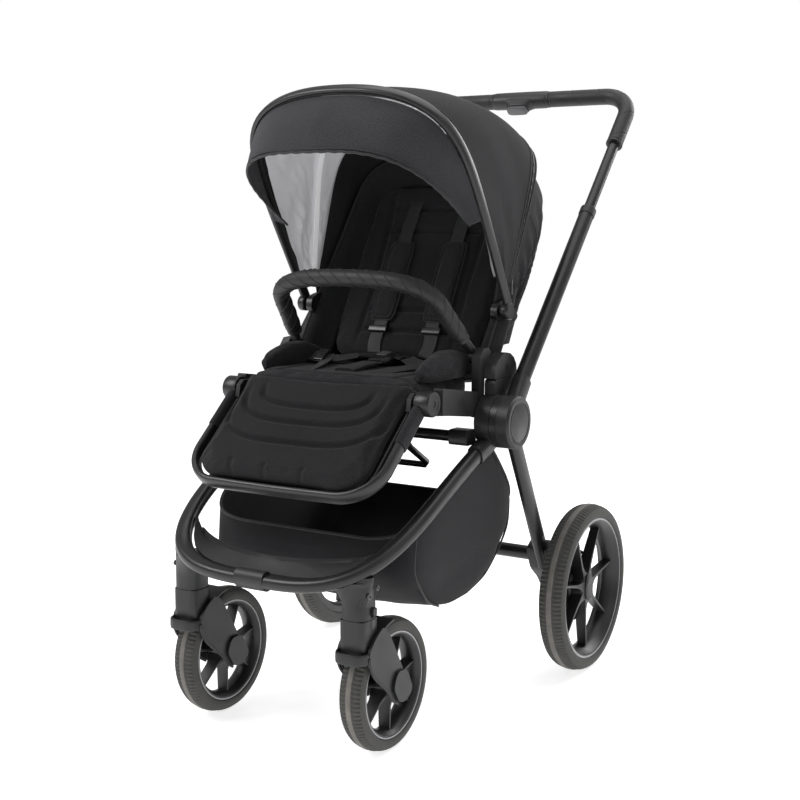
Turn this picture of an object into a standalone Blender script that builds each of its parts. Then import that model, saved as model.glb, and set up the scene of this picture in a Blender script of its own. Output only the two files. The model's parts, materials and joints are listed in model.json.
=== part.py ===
"""Baby stroller: folding four-wheel chassis with a reclining seat unit and a canopy.

Metres. +Z up, the seat faces -Y, +X is the child's left. The origin is on the floor
under the middle of the overall box.
"""
import bpy
import bmesh
from math import cos, hypot, pi, radians, sin
from mathutils import Matrix, Vector

GAP = 0.0003
SIDES = (("left", 1.0), ("right", -1.0))

REAR_AXLE = (0.184, 0.150)
REAR_WHEEL_X = 0.265
REAR_RADIUS = 0.150
FRONT_AXLE = (-0.324, 0.103)
FRONT_WHEEL_X = 0.158
FRONT_RADIUS = 0.103
CASTER_Y = -0.397
CASTER_SPLIT_Z = 0.2246
REAR_SIDES = 32
FRONT_SIDES = 26
BRAKE_SLOTS = 6

HUB = (-0.081, 0.482)
HUB_RADIUS = 0.043
HANDLE_ANGLE = radians(47.1)
HANDLE_X = 0.235
HANDLE_LENGTH = 0.7655
COLLAR_AT = 0.4526
GRIP_AT = 0.634
LEG_X = 0.220
LEG_START = (-0.031, 0.4637)
LEG_END = (0.1126, 0.2015)
BEAM = (0.128, 0.213)
BRACE = (-0.129, 0.459)

FRAME_HALF_WIDTH = 0.212
FRAME_FRONT_Y = -0.444
FRAME_REAR_Y = -0.066
FRAME_FRONT_Z = 0.270
FRAME_SIDE_POWER = 3.374
FRAME_BOW_POWER = 5.474

RECLINE = (-0.047, 0.566)
BACK_ANGLE = radians(60.0)
CANOPY_PIVOT = (-0.019, 0.656)
BOW_ANGLE = radians(58.2)
CANOPY_STEPS = 20
BACK_HALF = 0.1952
FOOT_PIVOT = (-0.247, 0.526)
FOOT_ANGLE = radians(41.1)
BUMPER_PIVOT = (-0.078, 0.5845)
BUMPER_ANGLE = radians(48.3)

COLORS = {
    "frame_black": ((0.018, 0.018, 0.019, 1.0), 0.42, 0.6),
    "plastic_black": ((0.020, 0.020, 0.021, 1.0), 0.5, 0.0),
    "tyre_rubber": ((0.030, 0.029, 0.028, 1.0), 0.8, 0.0),
    "rim_plastic": ((0.025, 0.025, 0.026, 1.0), 0.45, 0.0),
    "leatherette": ((0.022, 0.022, 0.023, 1.0), 0.6, 0.0),
    "seat_fabric": ((0.020, 0.020, 0.022, 1.0), 0.9, 0.0),
    "canopy_fabric": ((0.026, 0.025, 0.028, 1.0), 0.9, 0.0),
    "basket_fabric": ((0.022, 0.021, 0.024, 1.0), 0.9, 0.0),
    "webbing": ((0.018, 0.018, 0.020, 1.0), 0.75, 0.0),
}


def material(name, node):
    color, rough, metal = COLORS[name]
    made = bpy.data.materials.new(f"{name}_{node}")
    made.use_nodes = True
    shader = made.node_tree.nodes["Principled BSDF"]
    shader.inputs["Base Color"].default_value = color
    shader.inputs["Roughness"].default_value = rough
    shader.inputs["Metallic"].default_value = metal
    return made


def tidy(bm):
    bmesh.ops.remove_doubles(bm, verts=bm.verts, dist=1e-6)
    bmesh.ops.dissolve_degenerate(bm, dist=1e-7, edges=bm.edges)
    bmesh.ops.recalc_face_normals(bm, faces=bm.faces)


def mesh_object(name, verts, faces, color="plastic_black"):
    mesh = bpy.data.meshes.new(name)
    bm = bmesh.new()
    made = [bm.verts.new(v) for v in verts]
    for face in faces:
        corners = [made[i] for i in face]
        if len(set(corners)) > 2:
            bm.faces.new(corners)
    tidy(bm)
    bm.to_mesh(mesh)
    bm.free()
    obj = bpy.data.objects.new(name, mesh)
    bpy.context.scene.collection.objects.link(obj)
    mesh.materials.append(material(color, name))
    return obj


def combine(obj, tool, operation):
    """Apply one exact boolean and remove the tool."""
    step = obj.modifiers.new("cut", "BOOLEAN")
    step.operation = operation
    step.solver = "EXACT"
    step.object = tool
    bpy.context.view_layer.update()
    graph = bpy.context.evaluated_depsgraph_get()
    mesh = bpy.data.meshes.new_from_object(obj.evaluated_get(graph))
    obj.modifiers.remove(step)
    keep = obj.data.materials[0]
    bm = bmesh.new()
    bm.from_mesh(mesh)
    for face in bm.faces:
        face.material_index = 0
    tidy(bm)
    bm.to_mesh(mesh)
    bm.free()
    mesh.materials.clear()
    mesh.materials.append(keep)
    mesh.name = obj.name
    obj.data = mesh
    bpy.data.objects.remove(tool)


def fuse(obj, *tools):
    for tool in tools:
        combine(obj, tool, "UNION")


def cut(obj, *tools):
    for tool in tools:
        combine(obj, tool, "DIFFERENCE")


def oval(width, height, power=2.0, count=16):
    """Closed rounded section, width along the first axis."""
    points = []
    for i in range(count):
        a = 2 * pi * (i + 0.5) / count
        c, s = cos(a), sin(a)
        u = width / 2 * abs(c) ** (2 / power) * (1 if c > 0 else -1)
        v = height / 2 * abs(s) ** (2 / power) * (1 if s > 0 else -1)
        points.append((u, v))
    return points


def frames(path, up):
    """Tangent, across and up directions at each point of a path."""
    result = []
    for i in range(len(path)):
        a = path[max(i - 1, 0)]
        b = path[min(i + 1, len(path) - 1)]
        tangent = (Vector(b) - Vector(a)).normalized()
        across = tangent.cross(Vector(up)).normalized()
        result.append((across, across.cross(tangent).normalized()))
    return result


def sweep(name, path, sections, up=(0, 0, 1), color="plastic_black", inner=None):
    """Carry a section along a path; inner makes it a hollow tube open at both ends."""
    if isinstance(sections[0][0], float):
        sections = [sections] * len(path)
    if inner is not None and isinstance(inner[0][0], float):
        inner = [inner] * len(path)
    axes = frames(path, up)
    count = len(sections[0])
    verts = []
    for loop in [sections] if inner is None else [sections, inner]:
        for point, (across, above), section in zip(path, axes, loop):
            for u, v in section:
                verts.append(tuple(Vector(point) + across * u + above * v))
    faces = []
    layers = 1 if inner is None else 2
    rows = len(path)
    for layer in range(layers):
        base = layer * rows * count
        for i in range(rows - 1):
            for j in range(count):
                k = (j + 1) % count
                p = base + i * count
                q = p + count
                faces.append((p + j, p + k, q + k, q + j))
    if inner is None:
        faces.append(tuple(range(count)))
        faces.append(tuple((rows - 1) * count + j for j in range(count)))
    else:
        for i in (0, rows - 1):
            for j in range(count):
                k = (j + 1) % count
                a = i * count
                b = (rows + i) * count
                faces.append((a + j, a + k, b + k, b + j))
    return mesh_object(name, verts, faces, color)


def lathe(name, profile, center, count=32, color="plastic_black"):
    """Turn a closed (radius, x) profile about the X axis through center (y, z)."""
    verts = []
    for i in range(count):
        a = 2 * pi * i / count
        for r, x in profile:
            verts.append((x, center[0] + r * cos(a), center[1] + r * sin(a)))
    n = len(profile)
    faces = []
    for i in range(count):
        k = (i + 1) % count
        for j in range(n):
            m = (j + 1) % n
            if profile[j][0] == 0 and profile[m][0] == 0:
                continue
            faces.append((i * n + j, i * n + m, k * n + m, k * n + j))
    return mesh_object(name, verts, clean_poles(faces, verts), color)


def clean_poles(faces, verts):
    """Drop the repeated corner where a turned face meets the axis."""
    result = []
    for face in faces:
        kept = []
        for i in face:
            if all((Vector(verts[i]) - Vector(verts[j])).length > 1e-7 for j in kept):
                kept.append(i)
        result.append(tuple(kept))
    return result


def plate(name, outline, low, high, color="plastic_black"):
    """Extrude a (y, z) outline along X from low to high."""
    n = len(outline)
    verts = [(low, y, z) for y, z in outline] + [(high, y, z) for y, z in outline]
    faces = [tuple(range(n)), tuple(range(n, 2 * n))]
    faces += [(i, (i + 1) % n, n + (i + 1) % n, n + i) for i in range(n)]
    return mesh_object(name, verts, faces, color)


def disc(name, radius, low, high, center, count=32, color="plastic_black"):
    return lathe(name, [(0, low), (radius, low), (radius, high), (0, high)], center, count, color)


def rings(name, loops, color="plastic_black"):
    """Skin a stack of equal rings into one closed solid."""
    n = len(loops[0])
    verts = [v for loop in loops for v in loop]
    faces = []
    for i in range(len(loops) - 1):
        for j in range(n):
            k = (j + 1) % n
            faces.append((i * n + j, i * n + k, (i + 1) * n + k, (i + 1) * n + j))
    faces.append(tuple(range(n)))
    faces.append(tuple((len(loops) - 1) * n + j for j in range(n)))
    return mesh_object(name, verts, faces, color)


def span(low, high, side):
    """Order an X interval given for the left side on the named side."""
    return (low, high) if side > 0 else (-high, -low)


def along(start, angle, distance):
    return (start[0] + distance * cos(angle), start[1] + distance * sin(angle))


def rounded(outline, radius, steps=3):
    """Round the corners of a polygon."""
    result = []
    n = len(outline)
    for i in range(n):
        here = Vector(outline[i])
        before = Vector(outline[i - 1]) - here
        after = Vector(outline[(i + 1) % n]) - here
        cutback = min(radius, before.length * 0.45, after.length * 0.45)
        a = here + before.normalized() * cutback
        b = here + after.normalized() * cutback
        for k in range(steps + 1):
            t = k / steps
            point = a * (1 - t) ** 2 + here * 2 * t * (1 - t) + b * t * t
            result.append((point.x, point.y))
    return result


def origin_to(obj, point):
    """Put an object's origin on its joint axis."""
    shift = Vector(point)
    obj.data.transform(Matrix.Translation(-shift))
    obj.location = shift


# ---------------------------------------------------------------- chassis

def frame_height(y):
    back = y - FRAME_FRONT_Y
    return FRAME_FRONT_Z + 0.678 * back - 0.473 * back * back


def frame_point(a):
    """Centre of the front tube; a runs from 0 at the left hub to pi at the right."""
    c, s = cos(a), sin(a)
    x = FRAME_HALF_WIDTH * abs(c) ** (2 / FRAME_SIDE_POWER) * (1 if c > 0 else -1)
    y = FRAME_REAR_Y + (FRAME_FRONT_Y - FRAME_REAR_Y) * s ** (2 / FRAME_BOW_POWER)
    return (x, y, frame_height(y))


def frame_angles():
    first = 0.0021
    shape = [first, 0.018, 0.06, 0.13, 0.22, 0.32, 0.43, 0.56, 0.72, 0.92, 1.16, 1.36]
    return shape + [pi / 2] + [pi - a for a in reversed(shape)]


def frame_sections(path, grow=0.0, count=16):
    result = []
    for point in path:
        bow = min(max((-0.20 - point[1]) / 0.20, 0.0), 1.0)
        width = 0.022 + 0.005 * bow + grow
        height = 0.026 - 0.005 * bow + grow
        result.append(oval(width, height, 2.6, count))
    return result


def front_frame():
    path = [frame_point(a) for a in frame_angles()]
    return sweep("front_frame", path, frame_sections(path), color="frame_black")


def frame_clearance(name, first, last, grow=2 * GAP):
    path = [frame_point(a) for a in frame_angles()][first:last]
    return sweep(name, path, frame_sections(path, grow))


def hub_sleeve(side):
    """Short sleeve of the hub that takes the end of the front tube."""
    ys = (-0.094, -0.104, -0.122, -0.140)
    path = [(side * 0.2122, y, frame_height(y)) for y in ys]
    return sweep("sleeve", path, oval(0.0262, 0.031, 3.0, 16))


def hub_plate(name, side):
    """Inner hub with its pivot pin, tube sleeve and the seat adapter post."""
    low, high = span(0.2000, 0.2256, side)
    body = disc(name, HUB_RADIUS, low, high, HUB, 28)
    fuse(body, hub_sleeve(side))
    post = [(-0.088, 0.503), (-0.012, 0.503), (-0.012, 0.550), (-0.088, 0.550)]
    low, high = span(0.2002, 0.2192, side)
    fuse(body, plate("post", rounded(post, 0.008), low, high))
    low, high = span(0.2100, 0.2480, side)
    fuse(body, disc("pin", 0.0080, low, high, HUB, 20))
    tube = frame_clearance("tube", 0, 6) if side > 0 else frame_clearance("tube", -6, None)
    cut(body, tube)
    return body


def cross_brace():
    low, high = -0.196, 0.196
    body = disc("cross_brace", 0.0092, low + 0.02, high - 0.02, BRACE, 16, "frame_black")
    y, z = BRACE
    block = [(y - 0.017, z + 0.013), (y + 0.016, z + 0.013), (y + 0.016, z - 0.012), (y - 0.017, z - 0.012)]
    for _, side in SIDES:
        low, high = span(0.1660, 0.1990, side)
        fuse(body, plate("block", rounded(block, 0.005, 2), low, high))
    cut(body, frame_clearance("tube_left", 1, 7), frame_clearance("tube_right", -7, -1))
    return body


def caster_housing(name, side):
    """Socket under the corner of the front tube, drawn out along the tube at its top."""
    levels = (
        (CASTER_SPLIT_Z + GAP, 0.0222, 0.0232, 0.0, 0.0),
        (0.2460, 0.0222, 0.0232, 0.0, 0.0),
        (0.2620, 0.0255, 0.0240, 0.0030, 0.0),
        (0.2740, 0.0300, 0.0250, 0.0075, 0.0),
        (0.2812, 0.0320, 0.0250, 0.0100, 0.0),
        (0.2816, 0.0180, 0.0110, -0.0045, 0.0120),
        (0.2890, 0.0180, 0.0110, -0.0045, 0.0120),
    )
    loops = []
    for z, half_long, half_wide, slide, shift in levels:
        turn = side * radians(32.0) * min(max((z - 0.246) / 0.030, 0.0), 1.0)
        middle_x = side * (FRONT_WHEEL_X - slide * cos(turn) + shift * abs(sin(turn)))
        middle_y = CASTER_Y - slide * abs(sin(turn)) - shift * cos(turn)
        loop = []
        for u, v in oval(2 * half_long, 2 * half_wide, 3.0, 20):
            x = middle_x + u * cos(turn) - v * sin(turn)
            loop.append((x, middle_y + u * sin(turn) + v * cos(turn), z))
        loops.append(loop)
    body = rings(name, loops)
    half = len(frame_angles()) // 2
    first, last = (2, half + 1) if side > 0 else (half, -2)
    cut(body, frame_clearance("tube", first, last, 4 * GAP))
    cut(body, post_z("bore", side * FRONT_WHEEL_X, CASTER_Y, 0.0084, 0.200, 0.2584, 16))
    pocket = box_of("pocket", side * 0.1806, CASTER_Y + 0.004, 0.2345, 0.0065, 0.0102, 0.0152)
    cut(body, pocket)
    return body


def post_z(name, x, y, radius, low, high, count):
    loops = []
    for z in (low, high):
        loops.append([(x + u, y + v, z) for u, v in oval(2 * radius, 2 * radius, 2.0, count)])
    return rings(name, loops)


def box_of(name, x, y, z, dx, dy, dz):
    """Axis-aligned block given by its centre and full sizes."""
    loops = []
    for level in (z - dz / 2, z + dz / 2):
        loops.append([
            (x - dx / 2, y - dy / 2, level),
            (x + dx / 2, y - dy / 2, level),
            (x + dx / 2, y + dy / 2, level),
            (x - dx / 2, y + dy / 2, level),
        ])
    return rings(name, loops)


def swivel_lock(name, side):
    """Sliding catch on the outer face of the caster housing."""
    obj = box_of(name, side * 0.1817, CASTER_Y + 0.004, 0.2360, 0.0060, 0.0094, 0.0110)
    origin_to(obj, (side * 0.1817, CASTER_Y + 0.004, 0.2360))
    return obj


def fork_outline():
    wheel_y, wheel_z = FRONT_AXLE
    outline = [(-0.4252, 0.1630), (-0.4288, 0.1690), (-0.4262, 0.1775), (-0.4190, 0.1830)]
    outline += [(-0.4190, CASTER_SPLIT_Z), (-0.3750, CASTER_SPLIT_Z), (-0.3750, 0.2110)]
    for degrees in (112, 106, 100):
        a = radians(degrees)
        outline.append((wheel_y + 0.112 * cos(a), wheel_z + 0.112 * sin(a)))
    outline += [(-0.3190, 0.1450), (-0.3070, 0.1220), (-0.3050, 0.0990), (-0.3150, 0.0810)]
    outline += [(-0.3330, 0.0790), (-0.3480, 0.0930), (-0.3580, 0.1230), (-0.3760, 0.1420)]
    outline += [(-0.3990, 0.1520), (-0.4170, 0.1570)]
    return outline


def fork_plan(x):
    """Upright block with a rounded front that shapes the fender lip."""
    loops = []
    for z in (0.060, 0.240):
        loops.append([(x + u, -0.3520 + v, z) for u, v in oval(0.0582, 0.1450, 3.5, 28)])
    return rings("plan", loops)


def fork(name, side):
    """Swivelling fork with its fender lip, side plates, axle and stem pin."""
    x = side * FRONT_WHEEL_X
    body = plate(name, fork_outline(), x - 0.0290, x + 0.0290)
    wheel = disc("wheel_space", 0.1066, x - 0.0236, x + 0.0236, FRONT_AXLE, 40)
    cut(body, wheel)
    trim = [(-0.432, 0.1950), (-0.369, 0.1950), (-0.369, 0.2300), (-0.432, 0.2300)]
    for low, high in ((x - 0.032, x - 0.0222), (x + 0.0222, x + 0.032)):
        cut(body, plate("trim", trim, low, high))
    combine(body, fork_plan(x), "INTERSECT")
    cap = [(-0.3420, 0.0860), (-0.3270, 0.0800), (-0.3080, 0.1260), (-0.3230, 0.1320)]
    fuse(body, plate("cap", rounded(cap, 0.006, 2), x - 0.0335, x - 0.0280))
    fuse(body, plate("cap", rounded(cap, 0.006, 2), x + 0.0280, x + 0.0335))
    fuse(body, disc("axle", 0.0050, x - 0.0250, x + 0.0250, FRONT_AXLE, 16))
    fuse(body, post_z("stem", x, CASTER_Y, 0.0080, 0.2150, 0.2560, 16))
    origin_to(body, (x, CASTER_Y, 0.0))
    return body


def inward(a):
    """Unit plan direction from the front tube towards the space inside it."""
    x, y, _ = frame_point(a)
    px, py, _ = frame_point(a + 0.01)
    qx, qy, _ = frame_point(a - 0.01)
    length = hypot(px - qx, py - qy)
    nx, ny = (qy - py) / length, (px - qx) / length
    if -nx * x + ny * (-0.20 - y) < 0:
        nx, ny = -nx, -ny
    return nx, ny


def footboard():
    """Curved foot plate inside the front bow with a raised rear lip."""
    steps = 16
    loops = []
    for i in range(steps + 1):
        t = -1.0 + 2.0 * i / steps
        a = pi / 2 - t * 1.040
        x, y, z = frame_point(a)
        nx, ny = inward(a)
        outer = Vector((x + nx * 0.0160, y + ny * 0.0160))
        inner = Vector((0.1680 * t, -0.406 + 0.052 * abs(t) ** 2.4))
        lean = (outer - inner).normalized()
        lip = 0.3000 + 0.0110 * t * t
        section = [(outer, z + 0.0030)]
        section += [(inner + lean * 0.0040, lip - 0.0105), (inner, lip - 0.0060), (inner, lip)]
        section += [(inner + lean * 0.0035, lip), (inner + lean * 0.0055, lip - 0.0060)]
        section += [(outer, z + 0.0075)]
        loops.append([(p.x, p.y, height) for p, height in section])
    return rings("footboard", loops)


# ---------------------------------------------------------------- wheels

def wheel_windows(center, low, high, inner, outer, width, count):
    """Wedge-shaped cutters that leave slim spokes between them."""
    tools = []
    for i in range(count):
        mid = 2 * pi * (i + 0.5) / count - pi / 2
        half = pi / count
        outline = []
        for radius, steps in ((inner, 1), (outer, 2)):
            trim = half - (width / 2) / radius
            angles = [mid - trim + 2 * trim * k / steps for k in range(steps + 1)]
            if radius == outer:
                angles.reverse()
            outline += [(center[0] + radius * cos(a), center[1] + radius * sin(a)) for a in angles]
        tools.append(plate(f"window_{i}", outline, low, high))
    return tools


def tyre(name, x, center, bead, radius, half, count):
    ends = ((bead, 0.86), (bead + 0.30 * (radius - bead), 1.0), (bead + 0.70 * (radius - bead), 0.90),
            (radius - 0.0020, 0.54), (radius, 0.12))
    profile = [(r, x + half * k) for r, k in ends] + [(r, x - half * k) for r, k in reversed(ends)]
    obj = lathe(name, profile, center, count, "tyre_rubber")
    origin_to(obj, (x, center[0], center[1]))
    return obj


def rear_rim(name, side):
    """Deep dished rim with slim spokes, a brake flange and a cap recess."""
    def at(value):
        return side * value
    profile = [
        (0.0064, at(0.2424)), (0.0400, at(0.2424)), (0.0400, at(0.2484)), (0.0285, at(0.2524)),
        (0.0270, at(0.2560)), (0.1120, at(0.2560)), (0.1150, at(0.2450)), (0.1267, at(0.2450)),
        (0.1267, at(0.2850)), (0.1190, at(0.2850)), (0.1110, at(0.2740)), (0.0290, at(0.2700)),
        (0.0285, at(0.2755)), (0.0, at(0.2755)), (0.0, at(0.2665)), (0.0064, at(0.2665)),
    ]
    body = lathe(name, profile, REAR_AXLE, REAR_SIDES, "rim_plastic")
    low, high = span(0.2500, 0.2800, side)
    cut(body, *wheel_windows(REAR_AXLE, low, high, 0.0335, 0.1070, 0.0056, 7))
    low, high = span(0.2708, 0.2800, side)
    cut(body, plate("recess", cap_outline(0.0177, 0.0252), low, high))
    low, high = span(0.2400, 0.2464, side)
    for i in range(BRAKE_SLOTS):
        cut(body, notch("notch", 2 * pi * i / BRAKE_SLOTS, low, high))
    origin_to(body, (side * REAR_WHEEL_X, REAR_AXLE[0], REAR_AXLE[1]))
    return body


def notch(name, a, low, high):
    """Slot in the brake flange."""
    outline = []
    for r, w in ((0.030, -0.0032), (0.030, 0.0032), (0.0365, 0.0032), (0.0365, -0.0032)):
        outline.append((REAR_AXLE[0] + r * cos(a) - w * sin(a), REAR_AXLE[1] + r * sin(a) + w * cos(a)))
    return plate(name, outline, low, high)


def cap_outline(half_y, half_z, count=20):
    return [(REAR_AXLE[0] + u, REAR_AXLE[1] + v) for u, v in oval(2 * half_y, 2 * half_z, 2.2, count)]


def wheel_release(name, side):
    """Oval hub cap that is pressed to free the wheel."""
    low, high = span(0.2732, 0.2782, side)
    obj = plate(name, cap_outline(0.0172, 0.0247), low, high)
    origin_to(obj, (side * 0.2732, REAR_AXLE[0], REAR_AXLE[1]))
    return obj


def front_rim(name, side):
    x = side * FRONT_WHEEL_X
    profile = [
        (0.0053, x - 0.0190), (0.0165, x - 0.0190), (0.0185, x - 0.0090), (0.0700, x - 0.0075),
        (0.0730, x - 0.0170), (0.0827, x - 0.0170), (0.0827, x + 0.0170), (0.0730, x + 0.0170),
        (0.0700, x + 0.0075), (0.0185, x + 0.0090), (0.0165, x + 0.0190), (0.0053, x + 0.0190),
    ]
    body = lathe(name, profile, FRONT_AXLE, FRONT_SIDES, "rim_plastic")
    cut(body, *wheel_windows(FRONT_AXLE, x - 0.012, x + 0.012, 0.0225, 0.0665, 0.0046, 7))
    origin_to(body, (x, FRONT_AXLE[0], FRONT_AXLE[1]))
    return body


# ---------------------------------------------------------------- rear carriage

def leg_path(first, last, side):
    result = []
    for t in (first, last):
        y = LEG_START[0] + (LEG_END[0] - LEG_START[0]) * t
        z = LEG_START[1] + (LEG_END[1] - LEG_START[1]) * t
        result.append((side * LEG_X, y, z))
    return result


def rear_leg(name, side):
    """Oval leg tube with the flat pivot ring of the hub."""
    low, high = span(0.2264, 0.2376, side)
    ring = [(0.0083, low), (HUB_RADIUS, low), (HUB_RADIUS, high), (0.0083, high)]
    body = lathe(name, ring, HUB, 28, "frame_black")
    neck = [(-0.0480, 0.4700), (-0.0330, 0.4930), (-0.0060, 0.4560), (-0.0400, 0.4380)]
    low, high = span(0.2120, 0.2376, side)
    shoulder = plate("neck", neck, low, high)
    cut(shoulder, disc("clear", HUB_RADIUS + 2 * GAP, -0.2262, 0.2262, HUB, 32))
    cut(shoulder, disc("clear", HUB_RADIUS + 2 * GAP, -0.2262, 0.2262, HUB, 32))
    fuse(body, shoulder)
    tube = sweep("tube", leg_path(0.02, 1.0, side), oval(0.020, 0.030, 2.5, 20), up=(0, 0.877, 0.48))
    cut(tube, disc("clear", HUB_RADIUS + 2 * GAP, -0.2500, 0.2500, HUB, 32))
    fuse(body, tube)
    origin_to(body, (side * LEG_X, HUB[0], HUB[1]))
    return body


def axle_beam():
    obj = disc("axle_beam", 0.0125, -0.2075, 0.2075, BEAM, 20, "frame_black")
    origin_to(obj, (0.0, HUB[0], HUB[1]))
    return obj


def axle_bracket(name, side):
    """Casting that joins leg, beam and wheel axle."""
    outline = [
        (0.0870, 0.2330), (0.1140, 0.2480), (0.1500, 0.2180), (0.1640, 0.1900), (0.2020, 0.1640),
        (0.2060, 0.1420), (0.1880, 0.1270), (0.1640, 0.1330), (0.1350, 0.1700), (0.1040, 0.1930),
    ]
    low, high = span(0.1960, 0.2392, side)
    body = plate(name, rounded(outline, 0.010, 2), low, high)
    low, high = span(0.2300, 0.2658, side)
    fuse(body, disc("axle", 0.0060, low, high, REAR_AXLE, 16))
    cut(body, disc("beam", 0.0128, -0.2079, 0.2079, BEAM, 20))
    cut(body, sweep("leg", leg_path(0.5, 1.002, side), oval(0.0206, 0.0306, 2.5, 20), up=(0, 0.877, 0.48)))
    origin_to(body, (side * LEG_X, HUB[0], HUB[1]))
    return body


def brake_pedal():
    """Foot bar that rocks on the axle beam."""
    ring = [(0.0128, -0.0300), (0.0175, -0.0300), (0.0175, 0.0300), (0.0128, 0.0300)]
    body = lathe("brake_pedal", ring, BEAM, 20)
    y, z = BEAM
    arm = [(y + 0.0140, z + 0.0060), (y + 0.0650, z + 0.0200), (y + 0.0680, z + 0.0150),
           (y + 0.0640, z + 0.0100), (y + 0.0140, z - 0.0040)]
    fuse(body, plate("arm", arm, -0.0450, 0.0450))
    cut(body, disc("beam", 0.0128, -0.05, 0.05, BEAM, 20))
    origin_to(body, (0.0, y, z))
    return body


# ---------------------------------------------------------------- handle

def handle_spot(distance, x, lift=0.0):
    y, z = along(HUB, HANDLE_ANGLE, distance)
    return (x, y - lift * sin(HANDLE_ANGLE), z + lift * cos(HANDLE_ANGLE))


def handle_joint(name, side):
    """Outer drum of the hub with the socket of the handle tube."""
    def at(value):
        return side * value
    profile = [
        (0.0083, at(0.2380)), (HUB_RADIUS, at(0.2380)), (HUB_RADIUS, at(0.2570)), (0.0405, at(0.2612)),
        (0.0340, at(0.2612)), (0.0335, at(0.2600)), (0.0320, at(0.2600)), (0.0315, at(0.2612)),
        (0.0, at(0.2618)), (0.0, at(0.2486)), (0.0083, at(0.2486)),
    ]
    body = lathe(name, profile, HUB, 28)
    low, high = handle_spot(0.030, side * 0.2385), handle_spot(0.086, side * 0.2360)
    neck = sweep("neck", [low, high], oval(0.0270, 0.0330, 3.2, 20), up=(0, -0.7325, 0.681))
    cut(neck, disc("clear", HUB_RADIUS + 0.0006, -0.2380, 0.2380, HUB, 32))
    fuse(body, neck)
    tube = sweep("tube", [handle_spot(0.0497, side * HANDLE_X), handle_spot(0.12, side * HANDLE_X)],
                 oval(0.0276, 0.0276, 2.0, 20), up=(0, -0.7325, 0.681))
    cut(body, tube)
    origin_to(body, (side * HANDLE_X, HUB[0], HUB[1]))
    return body


def lower_tube(name, side):
    path = [handle_spot(0.0500, side * HANDLE_X), handle_spot(COLLAR_AT, side * HANDLE_X)]
    obj = sweep(name, path, oval(0.0270, 0.0270, 2.0, 20), up=(0, -0.7325, 0.681),
                color="frame_black", inner=oval(0.0212, 0.0212, 2.0, 20))
    origin_to(obj, (side * HANDLE_X, HUB[0], HUB[1]))
    return obj


def handle_collar(name, side):
    path = [handle_spot(COLLAR_AT + GAP, side * HANDLE_X), handle_spot(COLLAR_AT + 0.016, side * HANDLE_X)]
    obj = sweep(name, path, oval(0.0290, 0.0290, 2.0, 20), up=(0, -0.7325, 0.681),
                inner=oval(0.0212, 0.0212, 2.0, 20))
    origin_to(obj, (side * HANDLE_X, HUB[0], HUB[1]))
    return obj


def handle_path(first, last, side=1.0):
    """Points up one side tube and along the bar; distances along the side tube, then x."""
    corner = 0.058
    result = []
    if first < HANDLE_LENGTH - corner:
        result.append(handle_spot(first, side * HANDLE_X))
        result.append(handle_spot(HANDLE_LENGTH - corner, side * HANDLE_X))
    for k in range(1, 5):
        a = pi / 2 * k / 5
        x = HANDLE_X - corner + corner * cos(a)
        result.append(handle_spot(HANDLE_LENGTH - corner + corner * sin(a), side * x))
    result.append(handle_spot(HANDLE_LENGTH, side * (HANDLE_X - corner)))
    result.append(handle_spot(HANDLE_LENGTH, side * last))
    return result


def handle_slider():
    left = handle_path(0.300, 0.001)
    right = handle_path(0.300, 0.001, -1.0)
    path = left[:-1] + list(reversed(right[:-1]))
    up = (0, -0.7325, 0.681)
    obj = sweep("handle_slider", path, oval(0.0200, 0.0200, 2.0, 16), up=up, color="frame_black")
    origin_to(obj, (0.0,) + along(HUB, HANDLE_ANGLE, HANDLE_LENGTH))
    return obj


def handle_grip(name, side):
    path = handle_path(GRIP_AT, 0.0608, side)
    obj = sweep(name, path, oval(0.0300, 0.0310, 2.0, 16), up=(0, -0.7325, 0.681),
                color="leatherette", inner=oval(0.0212, 0.0212, 2.0, 16))
    origin_to(obj, (0.0,) + along(HUB, HANDLE_ANGLE, HANDLE_LENGTH))
    return obj


def handle_housing():
    """Moulded centre of the handlebar with the fold button under it."""
    up = (0, -0.7325, 0.681)
    path = [handle_spot(HANDLE_LENGTH, x) for x in (-0.0600, -0.0540, 0.0540, 0.0600)]
    sizes = (0.0295, 0.0325, 0.0325, 0.0295)
    outer = [oval(s, s, 2.4, 20) for s in sizes]
    body = sweep("handle_housing", path, outer, up=up, inner=oval(0.0208, 0.0208, 2.0, 20))
    low = handle_spot(HANDLE_LENGTH - 0.0128, 0.0)
    high = handle_spot(HANDLE_LENGTH - 0.0300, 0.0)
    body_cut = sweep("pocket", [low, high], oval(0.0412, 0.0132, 4.0, 16), up=up)
    cut(body, body_cut)
    origin_to(body, (0.0,) + along(HUB, HANDLE_ANGLE, HANDLE_LENGTH))
    return body


def handle_button():
    up = (0, -0.7325, 0.681)
    low = handle_spot(HANDLE_LENGTH - 0.0152, 0.0)
    high = handle_spot(HANDLE_LENGTH - 0.0195, 0.0)
    obj = sweep("handle_button", [low, high], oval(0.0400, 0.0120, 4.0, 16), up=up)
    origin_to(obj, (0.0,) + along(HUB, HANDLE_ANGLE, HANDLE_LENGTH))
    return obj


# ---------------------------------------------------------------- seat unit

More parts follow.
